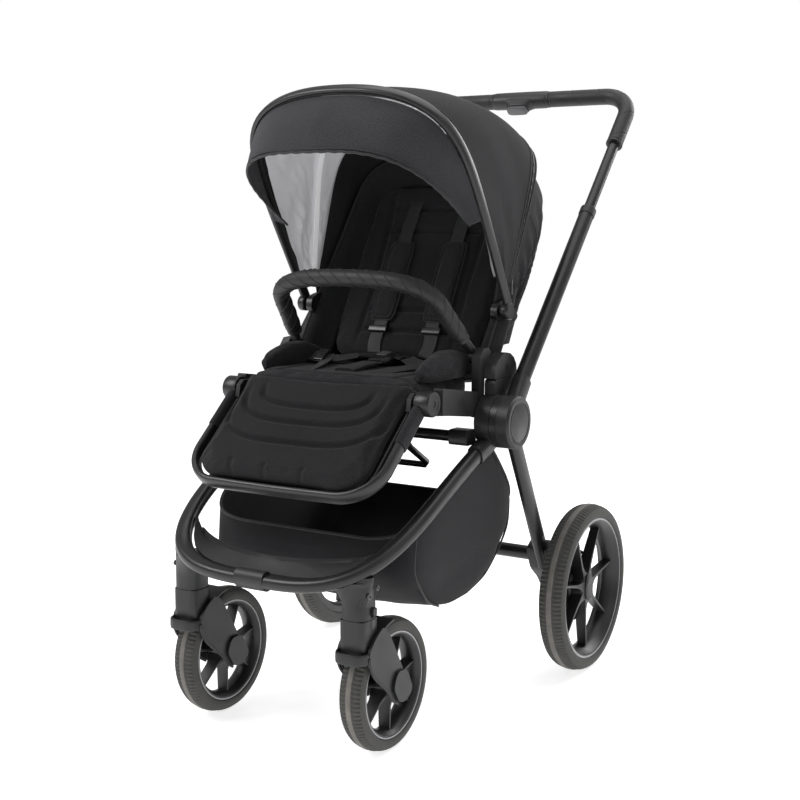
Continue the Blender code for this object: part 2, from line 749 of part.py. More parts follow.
def seat_mount(name, side):
    """Arched side fitting that clicks onto the chassis and carries the seat."""
    arch = [(-0.0875, 0.5504)]
    for k in range(9):
        a = pi - pi * k / 8
        arch.append((RECLINE[0] - 0.001 + 0.0395 * cos(a), 0.5565 + 0.0345 * sin(a)))
    arch.append((-0.0085, 0.5504))
    low, high = span(0.1990, 0.2190, side)
    body = plate(name, arch, low, high)
    strap = [(-0.1030, 0.4880), (-0.0890, 0.4850), (-0.0870, 0.5520), (-0.0670, 0.5720), (-0.0650, 0.5920),
             (-0.0740, 0.6000), (-0.0920, 0.5990), (-0.1030, 0.5860)]
    low, high = span(0.1840, 0.1996, side)
    fuse(body, plate("strap", strap, low, high))
    low, high = span(0.1830, 0.1930, side)
    cut(body, disc("socket", 0.0048, low, high, BUMPER_PIVOT, 14))
    low, high = span(0.1990, 0.2200, side)
    cut(body, disc("bore", 0.0063, low - 0.01, high + 0.01, RECLINE, 16))
    return body


def seat_frame():
    """Seat board with side panels, footrest pins and front legs' lugs."""
    board = [(-0.2600, 0.5060), (-0.0750, 0.4940), (-0.0750, 0.5000), (-0.2600, 0.5140)]
    body = plate("seat_frame", board, -0.1680, 0.1680)
    for _, side in SIDES:
        panel = [(-0.2235, 0.5060), (-0.1070, 0.4900), (-0.1070, 0.5310), (-0.2235, 0.5480)]
        low, high = span(0.1820, 0.1990, side)
        fuse(body, plate("panel", rounded(panel, 0.003, 1), low, high))
        rail = [(-0.2235, 0.5040), (-0.1070, 0.4915), (-0.1070, 0.5010), (-0.2235, 0.5130)]
        low, high = span(0.1650, 0.1850, side)
        fuse(body, plate("rail", rail, low, high))
        ear = [(-0.2700, 0.5150), (-0.2560, 0.5070), (-0.2300, 0.5070), (-0.2300, 0.5400), (-0.2560, 0.5420),
               (-0.2660, 0.5340)]
        low, high = span(0.1600, 0.1680, side)
        fuse(body, plate("ear", ear, low, high))
        low, high = span(0.1640, 0.1960, side)
        fuse(body, disc("pin", 0.0050, low, high, FOOT_PIVOT, 16))
    return body


def cushion(name, x_half, loops_yz, corner, color):
    """Closed pad from side outlines, narrowed at both X ends."""
    n = len(loops_yz)
    center = (sum(p[0] for p in loops_yz) / n, sum(p[1] for p in loops_yz) / n)
    loops = []
    for x, shrink in ((-x_half, 0.80), (-x_half + corner, 1.0), (x_half - corner, 1.0), (x_half, 0.80)):
        loops.append([(x, center[0] + (y - center[0]) * (0.5 + shrink / 2), center[1] + (z - center[1]) * shrink)
                      for y, z in loops_yz])
    return rings(name, loops, color)


def seat_pad():
    outline = [(-0.2560, 0.5150), (-0.0560, 0.5010), (-0.0560, 0.5380), (-0.1100, 0.5460), (-0.2300, 0.5530),
               (-0.2560, 0.5440)]
    return cushion("seat_pad", 0.1590, rounded(outline, 0.010, 2), 0.012, "seat_fabric")


def under_seat_loop():
    """Thin wire loop under the seat board."""
    path = [(0.110, -0.2300, 0.4990), (0.110, -0.1710, 0.4410), (0.108, -0.1150, 0.4090), (0.098, -0.1010, 0.4010),
            (-0.098, -0.1010, 0.4010), (-0.108, -0.1150, 0.4090), (-0.110, -0.1710, 0.4410),
            (-0.110, -0.2300, 0.4990)]
    return sweep("under_seat_loop", path, oval(0.0110, 0.0110, 2.0, 10), up=(0, 0.5, 0.866),
                 color="frame_black")


def back_spot(distance, x, lift=0.0):
    """Point on the backrest; lift is towards the child."""
    y, z = along(RECLINE, BACK_ANGLE, distance)
    return (x, y - lift * sin(BACK_ANGLE), z + lift * cos(BACK_ANGLE))


def backrest_frame():
    """Side tubes and top bow of the backrest with the recline pivots."""
    half, narrow, corner, shoulder = 0.1840, 0.1640, 0.070, 0.325
    left = [back_spot(0.006, half), back_spot(0.100, half), back_spot(0.200, 0.1740), back_spot(shoulder, narrow)]
    for k in range(1, 4):
        a = pi / 2 * k / 4
        left.append(back_spot(shoulder + corner * sin(a), narrow - corner + corner * cos(a)))
    left.append(back_spot(shoulder + corner, narrow - corner))
    right = [(-x, y, z) for x, y, z in reversed(left)]
    up = (0, -0.866, 0.5)
    body = sweep("backrest_frame", left + right, oval(0.0160, 0.0160, 2.0, 8), up=up, color="frame_black")
    for _, side in SIDES:
        low, high = span(0.1756, 0.1980, side)
        fuse(body, disc("eye", 0.0150, low, high, RECLINE, 16))
        low, high = span(0.1900, 0.2186, side)
        fuse(body, disc("pin", 0.0060, low, high, RECLINE, 12))
        bracket = [(-0.0330, 0.6440), (-0.0140, 0.6400), (0.0140, 0.6560), (0.0060, 0.6760), (-0.0180, 0.6720),
                   (-0.0330, 0.6640)]
        low, high = span(0.1800, 0.1920, side)
        fuse(body, plate("bracket", rounded(bracket, 0.005, 1), low, high))
        low, high = span(0.1880, 0.2010, side)
        fuse(body, disc("canopy_pin", 0.0040, low, high, CANOPY_PIVOT, 12))
    origin_to(body, (0.0, RECLINE[0], RECLINE[1]))
    return body


def backrest_pad():
    outline = [(0.002, -0.040), (0.320, -0.038), (0.368, -0.032), (0.368, -0.020), (0.300, -0.018), (0.002, -0.018)]
    points = [back_spot(s, 0.0, lift)[1:] for s, lift in rounded(outline, 0.010, 2)]
    obj = cushion("backrest_pad", 0.1600, points, 0.014, "seat_fabric")
    origin_to(obj, (0.0, RECLINE[0], RECLINE[1]))
    return obj


def harness(name, side):
    """Shoulder strap with its pad, one closed piece standing off the cushion."""
    path = []
    for s, lift in ((0.345, -0.0150), (0.232, -0.0105), (0.084, -0.0105), (0.012, -0.0140)):
        path.append(back_spot(s, side * 0.054, lift))
    sections = [oval(0.030, 0.004, 3.0, 12), oval(0.050, 0.012, 3.0, 12), oval(0.050, 0.012, 3.0, 12),
                oval(0.028, 0.004, 3.0, 12)]
    obj = sweep(name, path, sections, up=(0, -0.866, 0.5), color="webbing")
    origin_to(obj, (0.0, RECLINE[0], RECLINE[1]))
    return obj


def buckle():
    """Harness buckle on its crotch strap, lying on the seat cushion."""
    path = [(0.0, -0.2000, 0.5580), (0.0, -0.1500, 0.5600), (0.0, -0.0950, 0.5640), (0.0, -0.0420, 0.5680)]
    sections = [oval(0.028, 0.006, 3.0, 12), oval(0.034, 0.012, 3.0, 12), oval(0.050, 0.020, 3.0, 12),
                oval(0.046, 0.018, 3.0, 12)]
    return sweep("buckle", path, sections, up=(0, -0.1, 1))


# ---------------------------------------------------------------- footrest

def foot_spot(distance, x, lift=0.0):
    y = FOOT_PIVOT[0] - distance * cos(FOOT_ANGLE) - lift * sin(FOOT_ANGLE)
    z = FOOT_PIVOT[1] - distance * sin(FOOT_ANGLE) + lift * cos(FOOT_ANGLE)
    return (x, y, z)


def footrest_frame():
    half, reach = 0.1770, 0.196
    side_points = [(half, 0.0), (half, 0.070), (half, 0.125)]
    for k in range(1, 5):
        a = pi / 2 * k / 5
        side_points.append((half - 0.065 + 0.065 * cos(a), 0.131 + 0.060 * sin(a)))
    side_points += [(half - 0.065, reach - 0.004), (0.0, reach)]
    left = [foot_spot(s, x) for x, s in side_points]
    right = [(-x, y, z) for x, y, z in reversed(left[:-1])]
    up = (0, -sin(FOOT_ANGLE), cos(FOOT_ANGLE))
    body = sweep("footrest_frame", left + right, oval(0.0120, 0.0240, 2.6, 10), up=up, color="frame_black")
    for _, side in SIDES:
        low, high = span(0.1715, 0.1975, side)
        fuse(body, disc("hinge", 0.0200, low, high, FOOT_PIVOT, 18))
        low, high = span(0.1600, 0.1965, side)
        cut(body, disc("bore", 0.0054, low, high, FOOT_PIVOT, 16))
    origin_to(body, (0.0, FOOT_PIVOT[0], FOOT_PIVOT[1]))
    return body


def footrest_pad():
    """Leg cushion inside the bow, rounded in plan."""
    loops = []
    for lift, shrink in ((-0.004, 0.95), (0.002, 1.0), (0.014, 1.0), (0.023, 0.92)):
        outline = oval(0.328 * shrink, 0.151 * shrink, 4.0, 24)
        loops.append([foot_spot(0.1055 + v, u, lift) for u, v in outline])
    obj = rings("footrest_pad", loops, "seat_fabric")
    origin_to(obj, (0.0, FOOT_PIVOT[0], FOOT_PIVOT[1]))
    return obj


# ---------------------------------------------------------------- bumper bar

def bumper_spot(reach, x):
    y = BUMPER_PIVOT[0] - reach * cos(BUMPER_ANGLE)
    z = BUMPER_PIVOT[1] + reach * sin(BUMPER_ANGLE)
    return (x, y, z)


def bumper_bar():
    shape = [(0.046, 0.1655), (0.080, 0.1595), (0.110, 0.1555), (0.1280, 0.1510), (0.1425, 0.1400), (0.1540, 0.1230),
             (0.1640, 0.0930), (0.1690, 0.0480), (0.1700, 0.0)]
    left = [bumper_spot(reach, x) for reach, x in shape]
    path = left + [(-x, y, z) for x, y, z in reversed(left[:-1])]
    up = (0, -sin(BUMPER_ANGLE), -cos(BUMPER_ANGLE))
    body = sweep("bumper_bar", path, oval(0.0280, 0.0280, 2.0, 10), up=up, color="leatherette")
    for _, side in SIDES:
        arm = [bumper_spot(0.002, side * 0.1765), bumper_spot(0.052, side * 0.1650)]
        fuse(body, sweep("arm", arm, oval(0.0120, 0.0160, 3.0, 12), up=(1, 0, 0)))
        low, high = span(0.1700, 0.1836, side)
        fuse(body, disc("eye", 0.0125, low, high, BUMPER_PIVOT, 16))
        low, high = span(0.1800, 0.1924, side)
        fuse(body, disc("pin", 0.0044, low, high, BUMPER_PIVOT, 12))
    origin_to(body, (0.0, BUMPER_PIVOT[0], BUMPER_PIVOT[1]))
    return body


# ---------------------------------------------------------------- canopy

def canopy_spot(a, reach, x, behind=0.0):
    """Point at an angle above straight ahead from the canopy pivot."""
    y = CANOPY_PIVOT[0] - reach * cos(a) + behind * sin(a)
    z = CANOPY_PIVOT[1] + reach * sin(a) + behind * cos(a)
    return (x, y, z)


def arch(reach, foot_half, top_half, spread=0.876, lift=0.2725):
    """Closely spaced (reach, x) pairs of one canopy section from left foot to right foot."""
    half_way = 60
    left = []
    for k in range(half_way + 1):
        t = pi / 2 * (k / half_way) ** 4
        rise = sin(t) ** lift
        half = foot_half + (top_half - foot_half) * rise
        left.append((reach * rise, half * max(cos(t), 0.0) ** spread))
    left[-1] = (reach, 0.0)
    return left + [(r, -x) for r, x in reversed(left[:-1])]


def even(points, count):
    """Resample a polyline into count equal steps."""
    lengths = [0.0]
    for a, b in zip(points, points[1:]):
        lengths.append(lengths[-1] + (Vector(b) - Vector(a)).length)
    result = []
    i = 0
    for k in range(count + 1):
        target = lengths[-1] * k / count
        while i < len(points) - 2 and lengths[i + 1] < target:
            i += 1
        t = (target - lengths[i]) / (lengths[i + 1] - lengths[i])
        result.append(tuple(Vector(points[i]).lerp(Vector(points[i + 1]), min(t, 1.0))))
    return result


def canopy_bow():
    points = even(arch(0.4070, 0.2040, 0.2085), 22)
    path = [canopy_spot(BOW_ANGLE, reach, x, 0.008) for reach, x in points]
    up = (0, sin(BOW_ANGLE), cos(BOW_ANGLE))
    body = sweep("canopy_bow", path, oval(0.0110, 0.0200, 2.8, 8), up=up, color="frame_black")
    for _, side in SIDES:
        low, high = span(0.1985, 0.2115, side)
        fuse(body, disc("hinge", 0.0140, low, high, CANOPY_PIVOT, 20))
        low, high = span(0.1880, 0.2030, side)
        cut(body, disc("bore", 0.0044, low, high, CANOPY_PIVOT, 12))
    origin_to(body, (0.0, CANOPY_PIVOT[0], CANOPY_PIVOT[1]))
    return body


def skin(name, sections, thickness, color):
    """Thin shell through a list of open section lines."""
    n = len(sections[0])
    mesh = bpy.data.meshes.new(name)
    bm = bmesh.new()
    grid = [[bm.verts.new(p) for p in section] for section in sections]
    for i in range(len(sections) - 1):
        for j in range(n - 1):
            bm.faces.new((grid[i][j], grid[i][j + 1], grid[i + 1][j + 1], grid[i + 1][j]))
    bmesh.ops.recalc_face_normals(bm, faces=bm.faces)
    middle = grid[len(sections) // 2][n // 2]
    outward = Vector(sections[len(sections) // 2][n // 2]) - Vector((0.0, CANOPY_PIVOT[0], CANOPY_PIVOT[1]))
    if middle.normal.length == 0:
        bm.normal_update()
    if middle.normal.dot(outward) < 0:
        bmesh.ops.reverse_faces(bm, faces=bm.faces)
    bm.normal_update()
    back = [[bm.verts.new(v.co - v.normal * thickness) for v in row] for row in grid]
    for i in range(len(sections) - 1):
        for j in range(n - 1):
            bm.faces.new((back[i][j], back[i + 1][j], back[i + 1][j + 1], back[i][j + 1]))
    for j in range(n - 1):
        bm.faces.new((grid[0][j], back[0][j], back[0][j + 1], grid[0][j + 1]))
        bm.faces.new((grid[-1][j], grid[-1][j + 1], back[-1][j + 1], back[-1][j]))
    for i in range(len(sections) - 1):
        bm.faces.new((grid[i][0], grid[i + 1][0], back[i + 1][0], back[i][0]))
        bm.faces.new((grid[i][-1], back[i][-1], back[i + 1][-1], grid[i + 1][-1]))
    bmesh.ops.recalc_face_normals(bm, faces=bm.faces)
    bm.to_mesh(mesh)
    bm.free()
    obj = bpy.data.objects.new(name, mesh)
    bpy.context.scene.collection.objects.link(obj)
    mesh.materials.append(material(color, name))
    return obj


def canopy_section(degrees, reach, half, behind, spread, lift, lowest):
    """One open line of the canopy, started a little above the pivot."""
    kept = [p for p in arch(reach, half - 0.005, half, spread, lift) if p[0] >= lowest]
    return [canopy_spot(radians(degrees), r, x, behind) for r, x in even(kept, CANOPY_STEPS)]


def canopy_shell():
    """Front half of the canopy from the bow back to the zip line."""
    table = (
        (58.2, 0.4005, 0.2060, 0.0190, 0.876, 0.2725, 0.034),
        (72.0, 0.3800, 0.2055, 0.0090, 0.840, 0.2450, 0.038),
        (87.0, 0.3620, 0.2050, 0.0030, 0.780, 0.2150, 0.042),
        (102.0, 0.3480, 0.2040, 0.0, 0.740, 0.1900, 0.042),
        (116.0, 0.3360, 0.2030, 0.0, 0.700, 0.1800, 0.044),
    )
    obj = skin("canopy_shell", [canopy_section(*row) for row in table], 0.0020, "canopy_fabric")
    origin_to(obj, (0.0, CANOPY_PIVOT[0], CANOPY_PIVOT[1]))
    return obj


def visor_edge():
    """Free lower edge of the peak, from the left tip on the bow to the right one."""
    left = []
    for k in range(41):
        t = pi / 2 * (k / 40) ** 2
        rise = sin(t) ** 0.62
        left.append((0.1790 * max(cos(t), 0.0) ** 0.60, -0.106 - 0.192 * rise, 0.7960 + 0.110 * rise))
    left[-1] = (0.0, left[-1][1], left[-1][2])
    return even(left + [(-x, y, z) for x, y, z in reversed(left[:-1])], CANOPY_STEPS)


def canopy_visor():
    """Soft peak that hangs forward from the bow."""
    top = canopy_section(58.2, 0.3990, 0.1990, -0.0030, 0.876, 0.2725, 0.172)
    edge = visor_edge()
    middle = []
    for (x, y, z), (u, v, w) in zip(top, edge):
        bulge = 1.0 - abs(x) / 0.21
        middle.append(((x + u) / 2, (y + v) / 2 - 0.008 * bulge, (z + w) / 2 + 0.006 * bulge))
    obj = skin("canopy_visor", [top, middle, edge], 0.0020, "canopy_fabric")
    origin_to(obj, (0.0, CANOPY_PIVOT[0], CANOPY_PIVOT[1]))
    return obj


def back_section(foot, apex):
    """Squarish U line from one side foot round the apex to the other foot."""
    half_way = 40
    left = []
    for k in range(half_way + 1):
        t = pi / 2 * (k / half_way) ** 3
        rise = sin(t) ** 0.32
        y = foot[0] + (apex[0] - foot[0]) * rise
        left.append((BACK_HALF * max(cos(t), 0.0) ** 0.60, y, foot[1] + (apex[1] - foot[1]) * rise))
    left[-1] = (0.0, apex[0], apex[1])
    return even(left + [(-x, y, z) for x, y, z in reversed(left[:-1])], CANOPY_STEPS)


def backrest_shell():
    """Fabric back of the seat with the bulged rear of the canopy above it."""
    table = (
        ((0.000, 0.6900), (0.1170, 0.9500)),
        ((0.003, 0.6800), (0.1640, 0.9240)),
        ((0.006, 0.6700), (0.2000, 0.8880)),
        ((0.006, 0.6600), (0.1960, 0.8480)),
        ((0.000, 0.6480), (0.1540, 0.7780)),
        ((-0.006, 0.6320), (0.1040, 0.7020)),
        ((-0.014, 0.6160), (0.0640, 0.6420)),
        ((-0.022, 0.6000), (0.0380, 0.6000)),
    )
    sections = [back_section(foot, apex) for foot, apex in table]
    obj = skin("backrest_shell", sections, 0.0022, "canopy_fabric")
    origin_to(obj, (0.0, RECLINE[0], RECLINE[1]))
    return obj


# ---------------------------------------------------------------- basket

def basket_loop(levels, count=24):
    """One horizontal-ish loop of the basket as rim points: front, side, rear."""
    half, power, front, rear, heights = levels
    loop = []
    for i in range(count):
        a = 2 * pi * i / count
        c, s = cos(a), sin(a)
        x = half * abs(c) ** (2 / power) * (1 if c > 0 else -1)
        v = abs(s) ** (2 / power) * (1 if s > 0 else -1)
        middle = (front + rear) / 2
        y = middle + (rear - front) / 2 * v
        loop.append((x, y, heights(x, y)))
    return loop


def rim_height(x, y):
    """Top edge: low at the front and back, high under the hub and beside the legs."""
    edge = frame_height(min(y, -0.060)) - 0.019
    if y > -0.060:
        edge -= (y + 0.060) * 1.02
    side = min(max((abs(x) - 0.120) / 0.070, 0.0), 1.0)
    return 0.322 * (1 - side) + edge * side


def belly_height(x, y):
    return min(0.282 + 0.03 * (y + 0.13) / 0.20, rim_height(x, y) - 0.012)


def basket():
    """Open sagging fabric tray hung between the frame tubes."""
    outer = [
        (0.1950, 7.0, -0.318, 0.0680, rim_height),
        (0.1945, 6.5, -0.330, 0.0660, belly_height),
        (0.1920, 5.5, -0.308, 0.0380, lambda x, y: 0.242),
        (0.1880, 5.0, -0.262, -0.0060, lambda x, y: 0.210),
        (0.1820, 4.5, -0.205, -0.0600, lambda x, y: 0.190),
    ]
    loops = [basket_loop(level) for level in outer]
    inner = []
    for half, power, front, rear, heights in reversed(outer):
        inner.append(basket_loop((half - 0.0022, power, front + 0.0022, rear - 0.0022, heights)))
    lifted = [(x, y, z + 0.0022) for x, y, z in inner[0]]
    return basket_solid(loops, lifted, inner[1:])


def basket_solid(outer, floor, inner):
    """Join outer wall, floor and inner wall into one closed thin tray."""
    n = len(outer[0])
    loops = list(reversed(outer)) + list(reversed(inner)) + [floor]
    verts = [v for loop in loops for v in loop]
    faces = []
    for i in range(len(loops) - 1):
        for j in range(n):
            k = (j + 1) % n
            faces.append((i * n + j, i * n + k, (i + 1) * n + k, (i + 1) * n + j))
    faces.append(tuple(range(n)))
    faces.append(tuple((len(loops) - 1) * n + j for j in range(n)))
    return mesh_object("basket", verts, faces, "basket_fabric")


# ---------------------------------------------------------------- assembly

def clear_scene():
    for obj in list(bpy.data.objects):
        bpy.data.objects.remove(obj)


def build():
    clear_scene()
    front_frame()
    cross_brace()
    footboard()
    basket()
    axle_beam()
    brake_pedal()
    for word, side in SIDES:
        hub_plate(f"hub_plate_{word}", side)
        caster_housing(f"caster_housing_{word}", side)
        swivel_lock(f"swivel_lock_{word}", side)
        fork(f"fork_{word}", side)
        front_rim(f"front_rim_{word}", side)
        tyre(f"front_tyre_{word}", side * FRONT_WHEEL_X, FRONT_AXLE, 0.0830, FRONT_RADIUS, 0.0210, FRONT_SIDES)
        rear_leg(f"rear_leg_{word}", side)
        axle_bracket(f"axle_bracket_{word}", side)
        rear_rim(f"rear_rim_{word}", side)
        tyre(f"rear_tyre_{word}", side * REAR_WHEEL_X, REAR_AXLE, 0.1270, REAR_RADIUS, 0.0240, REAR_SIDES)
        wheel_release(f"wheel_release_{word}", side)
        handle_joint(f"handle_joint_{word}", side)
        lower_tube(f"lower_handle_tube_{word}", side)
        handle_collar(f"handle_collar_{word}", side)
        handle_grip(f"handle_grip_{word}", side)
        seat_mount(f"seat_mount_{word}", side)
        harness(f"shoulder_strap_{word}", side)
    handle_slider()
    handle_housing()
    handle_button()
    seat_frame()
    seat_pad()
    under_seat_loop()
    backrest_frame()
    backrest_pad()
    backrest_shell()
    buckle()
    footrest_frame()
    footrest_pad()
    bumper_bar()
    canopy_bow()
    canopy_shell()
    canopy_visor()


build()
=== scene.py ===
"""Looks of the baby stroller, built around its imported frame.

Metres, +Z up, the seat faces -Y and +X is the child's left.
"""

import json
from math import cos, hypot, pi, radians, sin

import bmesh
import bpy
from mathutils import Matrix, Vector, noise

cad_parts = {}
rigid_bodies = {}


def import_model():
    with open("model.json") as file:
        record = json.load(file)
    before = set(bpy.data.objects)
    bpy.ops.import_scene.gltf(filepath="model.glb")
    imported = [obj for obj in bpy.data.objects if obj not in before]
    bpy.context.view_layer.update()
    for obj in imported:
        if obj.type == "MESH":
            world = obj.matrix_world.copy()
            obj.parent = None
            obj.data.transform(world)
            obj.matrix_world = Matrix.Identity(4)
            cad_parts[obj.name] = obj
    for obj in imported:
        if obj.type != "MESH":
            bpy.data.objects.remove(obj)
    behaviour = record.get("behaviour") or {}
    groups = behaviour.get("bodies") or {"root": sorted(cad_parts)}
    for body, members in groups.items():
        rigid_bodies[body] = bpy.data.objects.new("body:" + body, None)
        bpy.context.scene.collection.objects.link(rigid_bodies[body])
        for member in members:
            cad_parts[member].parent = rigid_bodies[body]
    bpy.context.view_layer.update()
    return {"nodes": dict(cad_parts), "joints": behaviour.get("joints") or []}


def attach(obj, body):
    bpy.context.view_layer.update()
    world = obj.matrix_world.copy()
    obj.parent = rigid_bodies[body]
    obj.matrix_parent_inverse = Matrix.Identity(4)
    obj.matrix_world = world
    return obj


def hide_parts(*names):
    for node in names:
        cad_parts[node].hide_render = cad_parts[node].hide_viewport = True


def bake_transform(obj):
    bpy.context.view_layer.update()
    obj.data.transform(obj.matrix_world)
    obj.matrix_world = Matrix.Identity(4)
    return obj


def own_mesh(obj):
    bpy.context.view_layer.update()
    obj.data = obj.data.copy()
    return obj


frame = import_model()
NODES = frame["nodes"]
SIDES = (("left", 1.0), ("right", -1.0))


def pivot(joint):
    found = next(j for j in frame["joints"] if j["name"] == joint)
    return Vector(found["pos_m"])


HUB = pivot("handle_fold")
RECLINE = pivot("recline")
HOOD = pivot("canopy_turn")
FOOT = pivot("footrest_turn")
BAR = pivot("bumper_turn")
REAR = pivot("rear_wheel_spin_left")
FRONT = pivot("front_wheel_spin_left")

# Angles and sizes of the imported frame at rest, in metres.
HANDLE_ANGLE = radians(47.1)
BACK_ANGLE = radians(60.0)
FOOT_ANGLE = radians(41.1)
BAR_ANGLE = radians(48.3)
HANDLE_X = 0.235
HANDLE_LENGTH = 0.7655
HANDLE_CORNER = 0.058
GRIP_AT = 0.634
HANDLE_UP = (0, -0.7325, 0.681)
BOW_DEGREES = 58.2
CASTER_Y = -0.397
SEAT_FRONT_Y = -0.259
# The front tube: its bow and foot, how it falls towards the bow, and how square its plan is.
FRAME_HALF_WIDTH = 0.212
FRAME_FRONT = (-0.444, 0.27)
FRAME_REAR_Y = -0.066
FRAME_SLOPE, FRAME_CURVE = 0.678, 0.473
FRAME_SQUARE_X, FRAME_SQUARE_Y = 3.374, 5.474
# Tread blocks, pads and cloth.
TREAD_DEPTH = 0.0024
TREAD_STEPS = 5
PAD_CELL = 0.0045
SWELL_FRAMES = 20
CLOTH_THICK = 0.0016
SURROUND_BEND = 0.205


# ---------------------------------------------------------------- materials

def look(name, color, rough, metal=0.0, **fixed):
    """A Principled material whose uniform numbers sit on the shader itself."""
    mat = bpy.data.materials.new(name)
    mat.use_nodes = True
    shader = mat.node_tree.nodes["Principled BSDF"]
    shader.inputs["Base Color"].default_value = (*color, 1.0)
    shader.inputs["Roughness"].default_value = rough
    shader.inputs["Metallic"].default_value = metal
    for socket, value in fixed.items():
        shader.inputs[socket.replace("_", " ")].default_value = value
    return mat


def add(mat, kind, **values):
    """Add one shader node and set its sockets or properties."""
    node = mat.node_tree.nodes.new(kind)
    for key, value in values.items():
        socket = key.replace("_", " ").title()
        if socket in node.inputs:
            node.inputs[socket].default_value = value
        else:
            setattr(node, key, value)
    return node


def wire(mat, source, target):
    mat.node_tree.links.new(source, target)


def shader_of(mat):
    return mat.node_tree.nodes["Principled BSDF"]


def glow(mat, strength):
    """White emission that lifts a surface above what the lamps give it; on the seam tape and the silver
    lining it is painted light.
    """
    shader_of(mat).inputs["Emission Color"].default_value = (1.0, 1.0, 1.0, 1.0)
    shader_of(mat).inputs["Emission Strength"].default_value = strength


def coordinates(mat, uv=False, turn=(0.0, 0.0, 0.0)):
    """Metres in the rest pose, or metres along the cloth where a piece is cut from it."""
    source = add(mat, "ShaderNodeTexCoord")
    mapping = add(mat, "ShaderNodeMapping")
    mapping.inputs["Rotation"].default_value = turn
    wire(mat, source.outputs["UV" if uv else "Object"], mapping.inputs["Vector"])
    return mapping.outputs["Vector"]


def noise_of(mat, where, scale, detail=3.0, rough=0.5):
    node = add(mat, "ShaderNodeTexNoise", scale=scale, detail=detail, roughness=rough)
    wire(mat, where, node.inputs["Vector"])
    return node.outputs["Fac"]


def spread(mat, value, low, high, start=0.3, end=0.7):
    """Map a texture value onto a working range."""
    node = add(mat, "ShaderNodeMapRange")
    node.inputs["From Min"].default_value = start
    node.inputs["From Max"].default_value = end
    node.inputs["To Min"].default_value = low
    node.inputs["To Max"].default_value = high
    wire(mat, value, node.inputs["Value"])
    return node.outputs["Result"]


def tint(mat, value, dark, light, start=0.3, end=0.7):
    """Vary the base colour between two tones."""
    ramp = add(mat, "ShaderNodeValToRGB")
    ramp.color_ramp.elements[0].position = start
    ramp.color_ramp.elements[0].color = (*dark, 1.0)
    ramp.color_ramp.elements[1].position = end
    ramp.color_ramp.elements[1].color = (*light, 1.0)
    wire(mat, value, ramp.inputs["Fac"])
    return ramp.outputs["Color"]


def calc(mat, operation, a, b):
    node = add(mat, "ShaderNodeMath", operation=operation)
    for slot, value in enumerate((a, b)):
        if isinstance(value, (int, float)):
            node.inputs[slot].default_value = value
        else:
            wire(mat, value, node.inputs[slot])
    return node.outputs["Value"]


def bump(mat, height, distance, strength=1.0):
    node = add(mat, "ShaderNodeBump")
    node.inputs["Strength"].default_value = strength
    node.inputs["Distance"].default_value = distance
    wire(mat, height, node.inputs["Height"])
    wire(mat, node.outputs["Normal"], shader_of(mat).inputs["Normal"])


def coated(name, color, rough, drift, gain, low, high):
    """A material whose tone and roughness drift together; returns it with its coordinates."""
    mat = look(name, color, rough)
    where = coordinates(mat)
    shader = shader_of(mat)
    broad = noise_of(mat, where, *drift)
    wire(mat, tint(mat, broad, color, tuple(c * gain for c in color)), shader.inputs["Base Color"])
    wire(mat, spread(mat, broad, low, high), shader.inputs["Roughness"])
    return mat, where


def painted(name, color, rough):
    """Satin powder coat with a fine orange-peel and slight rubbing marks."""
    mat, where = coated(name, color, rough, (22.0, 4.0), 1.35, rough - 0.05, rough + 0.07)
    bump(mat, noise_of(mat, where, 900.0, 2.0), 0.00012, 0.5)
    return mat


def moulded(name, color, rough, grain=1600.0, depth=0.0001):
    """Moulded plastic with a fine spark-eroded grain."""
    mat, where = coated(name, color, rough, (30.0, 3.0), 1.25, rough - 0.04, rough + 0.06)
    bump(mat, noise_of(mat, where, grain, 3.0), depth, 0.6)
    return mat


def rubber(name, color):
    """Dull tyre rubber, dusty in its hollows."""
    mat, where = coated(name, color, 0.78, (60.0, 5.0, 0.65), 1.7, 0.66, 0.88)
    bump(mat, noise_of(mat, where, 700.0, 4.0), 0.0002, 0.7)
    return mat


def leather(name, color):
    """Grained leatherette: small rounded cells with creases between them."""
    mat, where = coated(name, color, 0.55, (26.0, 4.0), 1.5, 0.46, 0.62)
    cells = add(mat, "ShaderNodeTexVoronoi", scale=620.0, feature="SMOOTH_F1")
    wire(mat, where, cells.inputs["Vector"])
    bump(mat, cells.outputs["Distance"], -0.0003, 0.55)
    return mat


def waves(mat, where, direction, pitch, distortion):
    """Threads or ribs at a given pitch across one direction."""
    wave = add(mat, "ShaderNodeTexWave", bands_direction=direction, distortion=distortion)
    wave.inputs["Scale"].default_value = 2 * pi / (20.0 * pitch)
    wire(mat, where, wave.inputs["Vector"])
    return wave


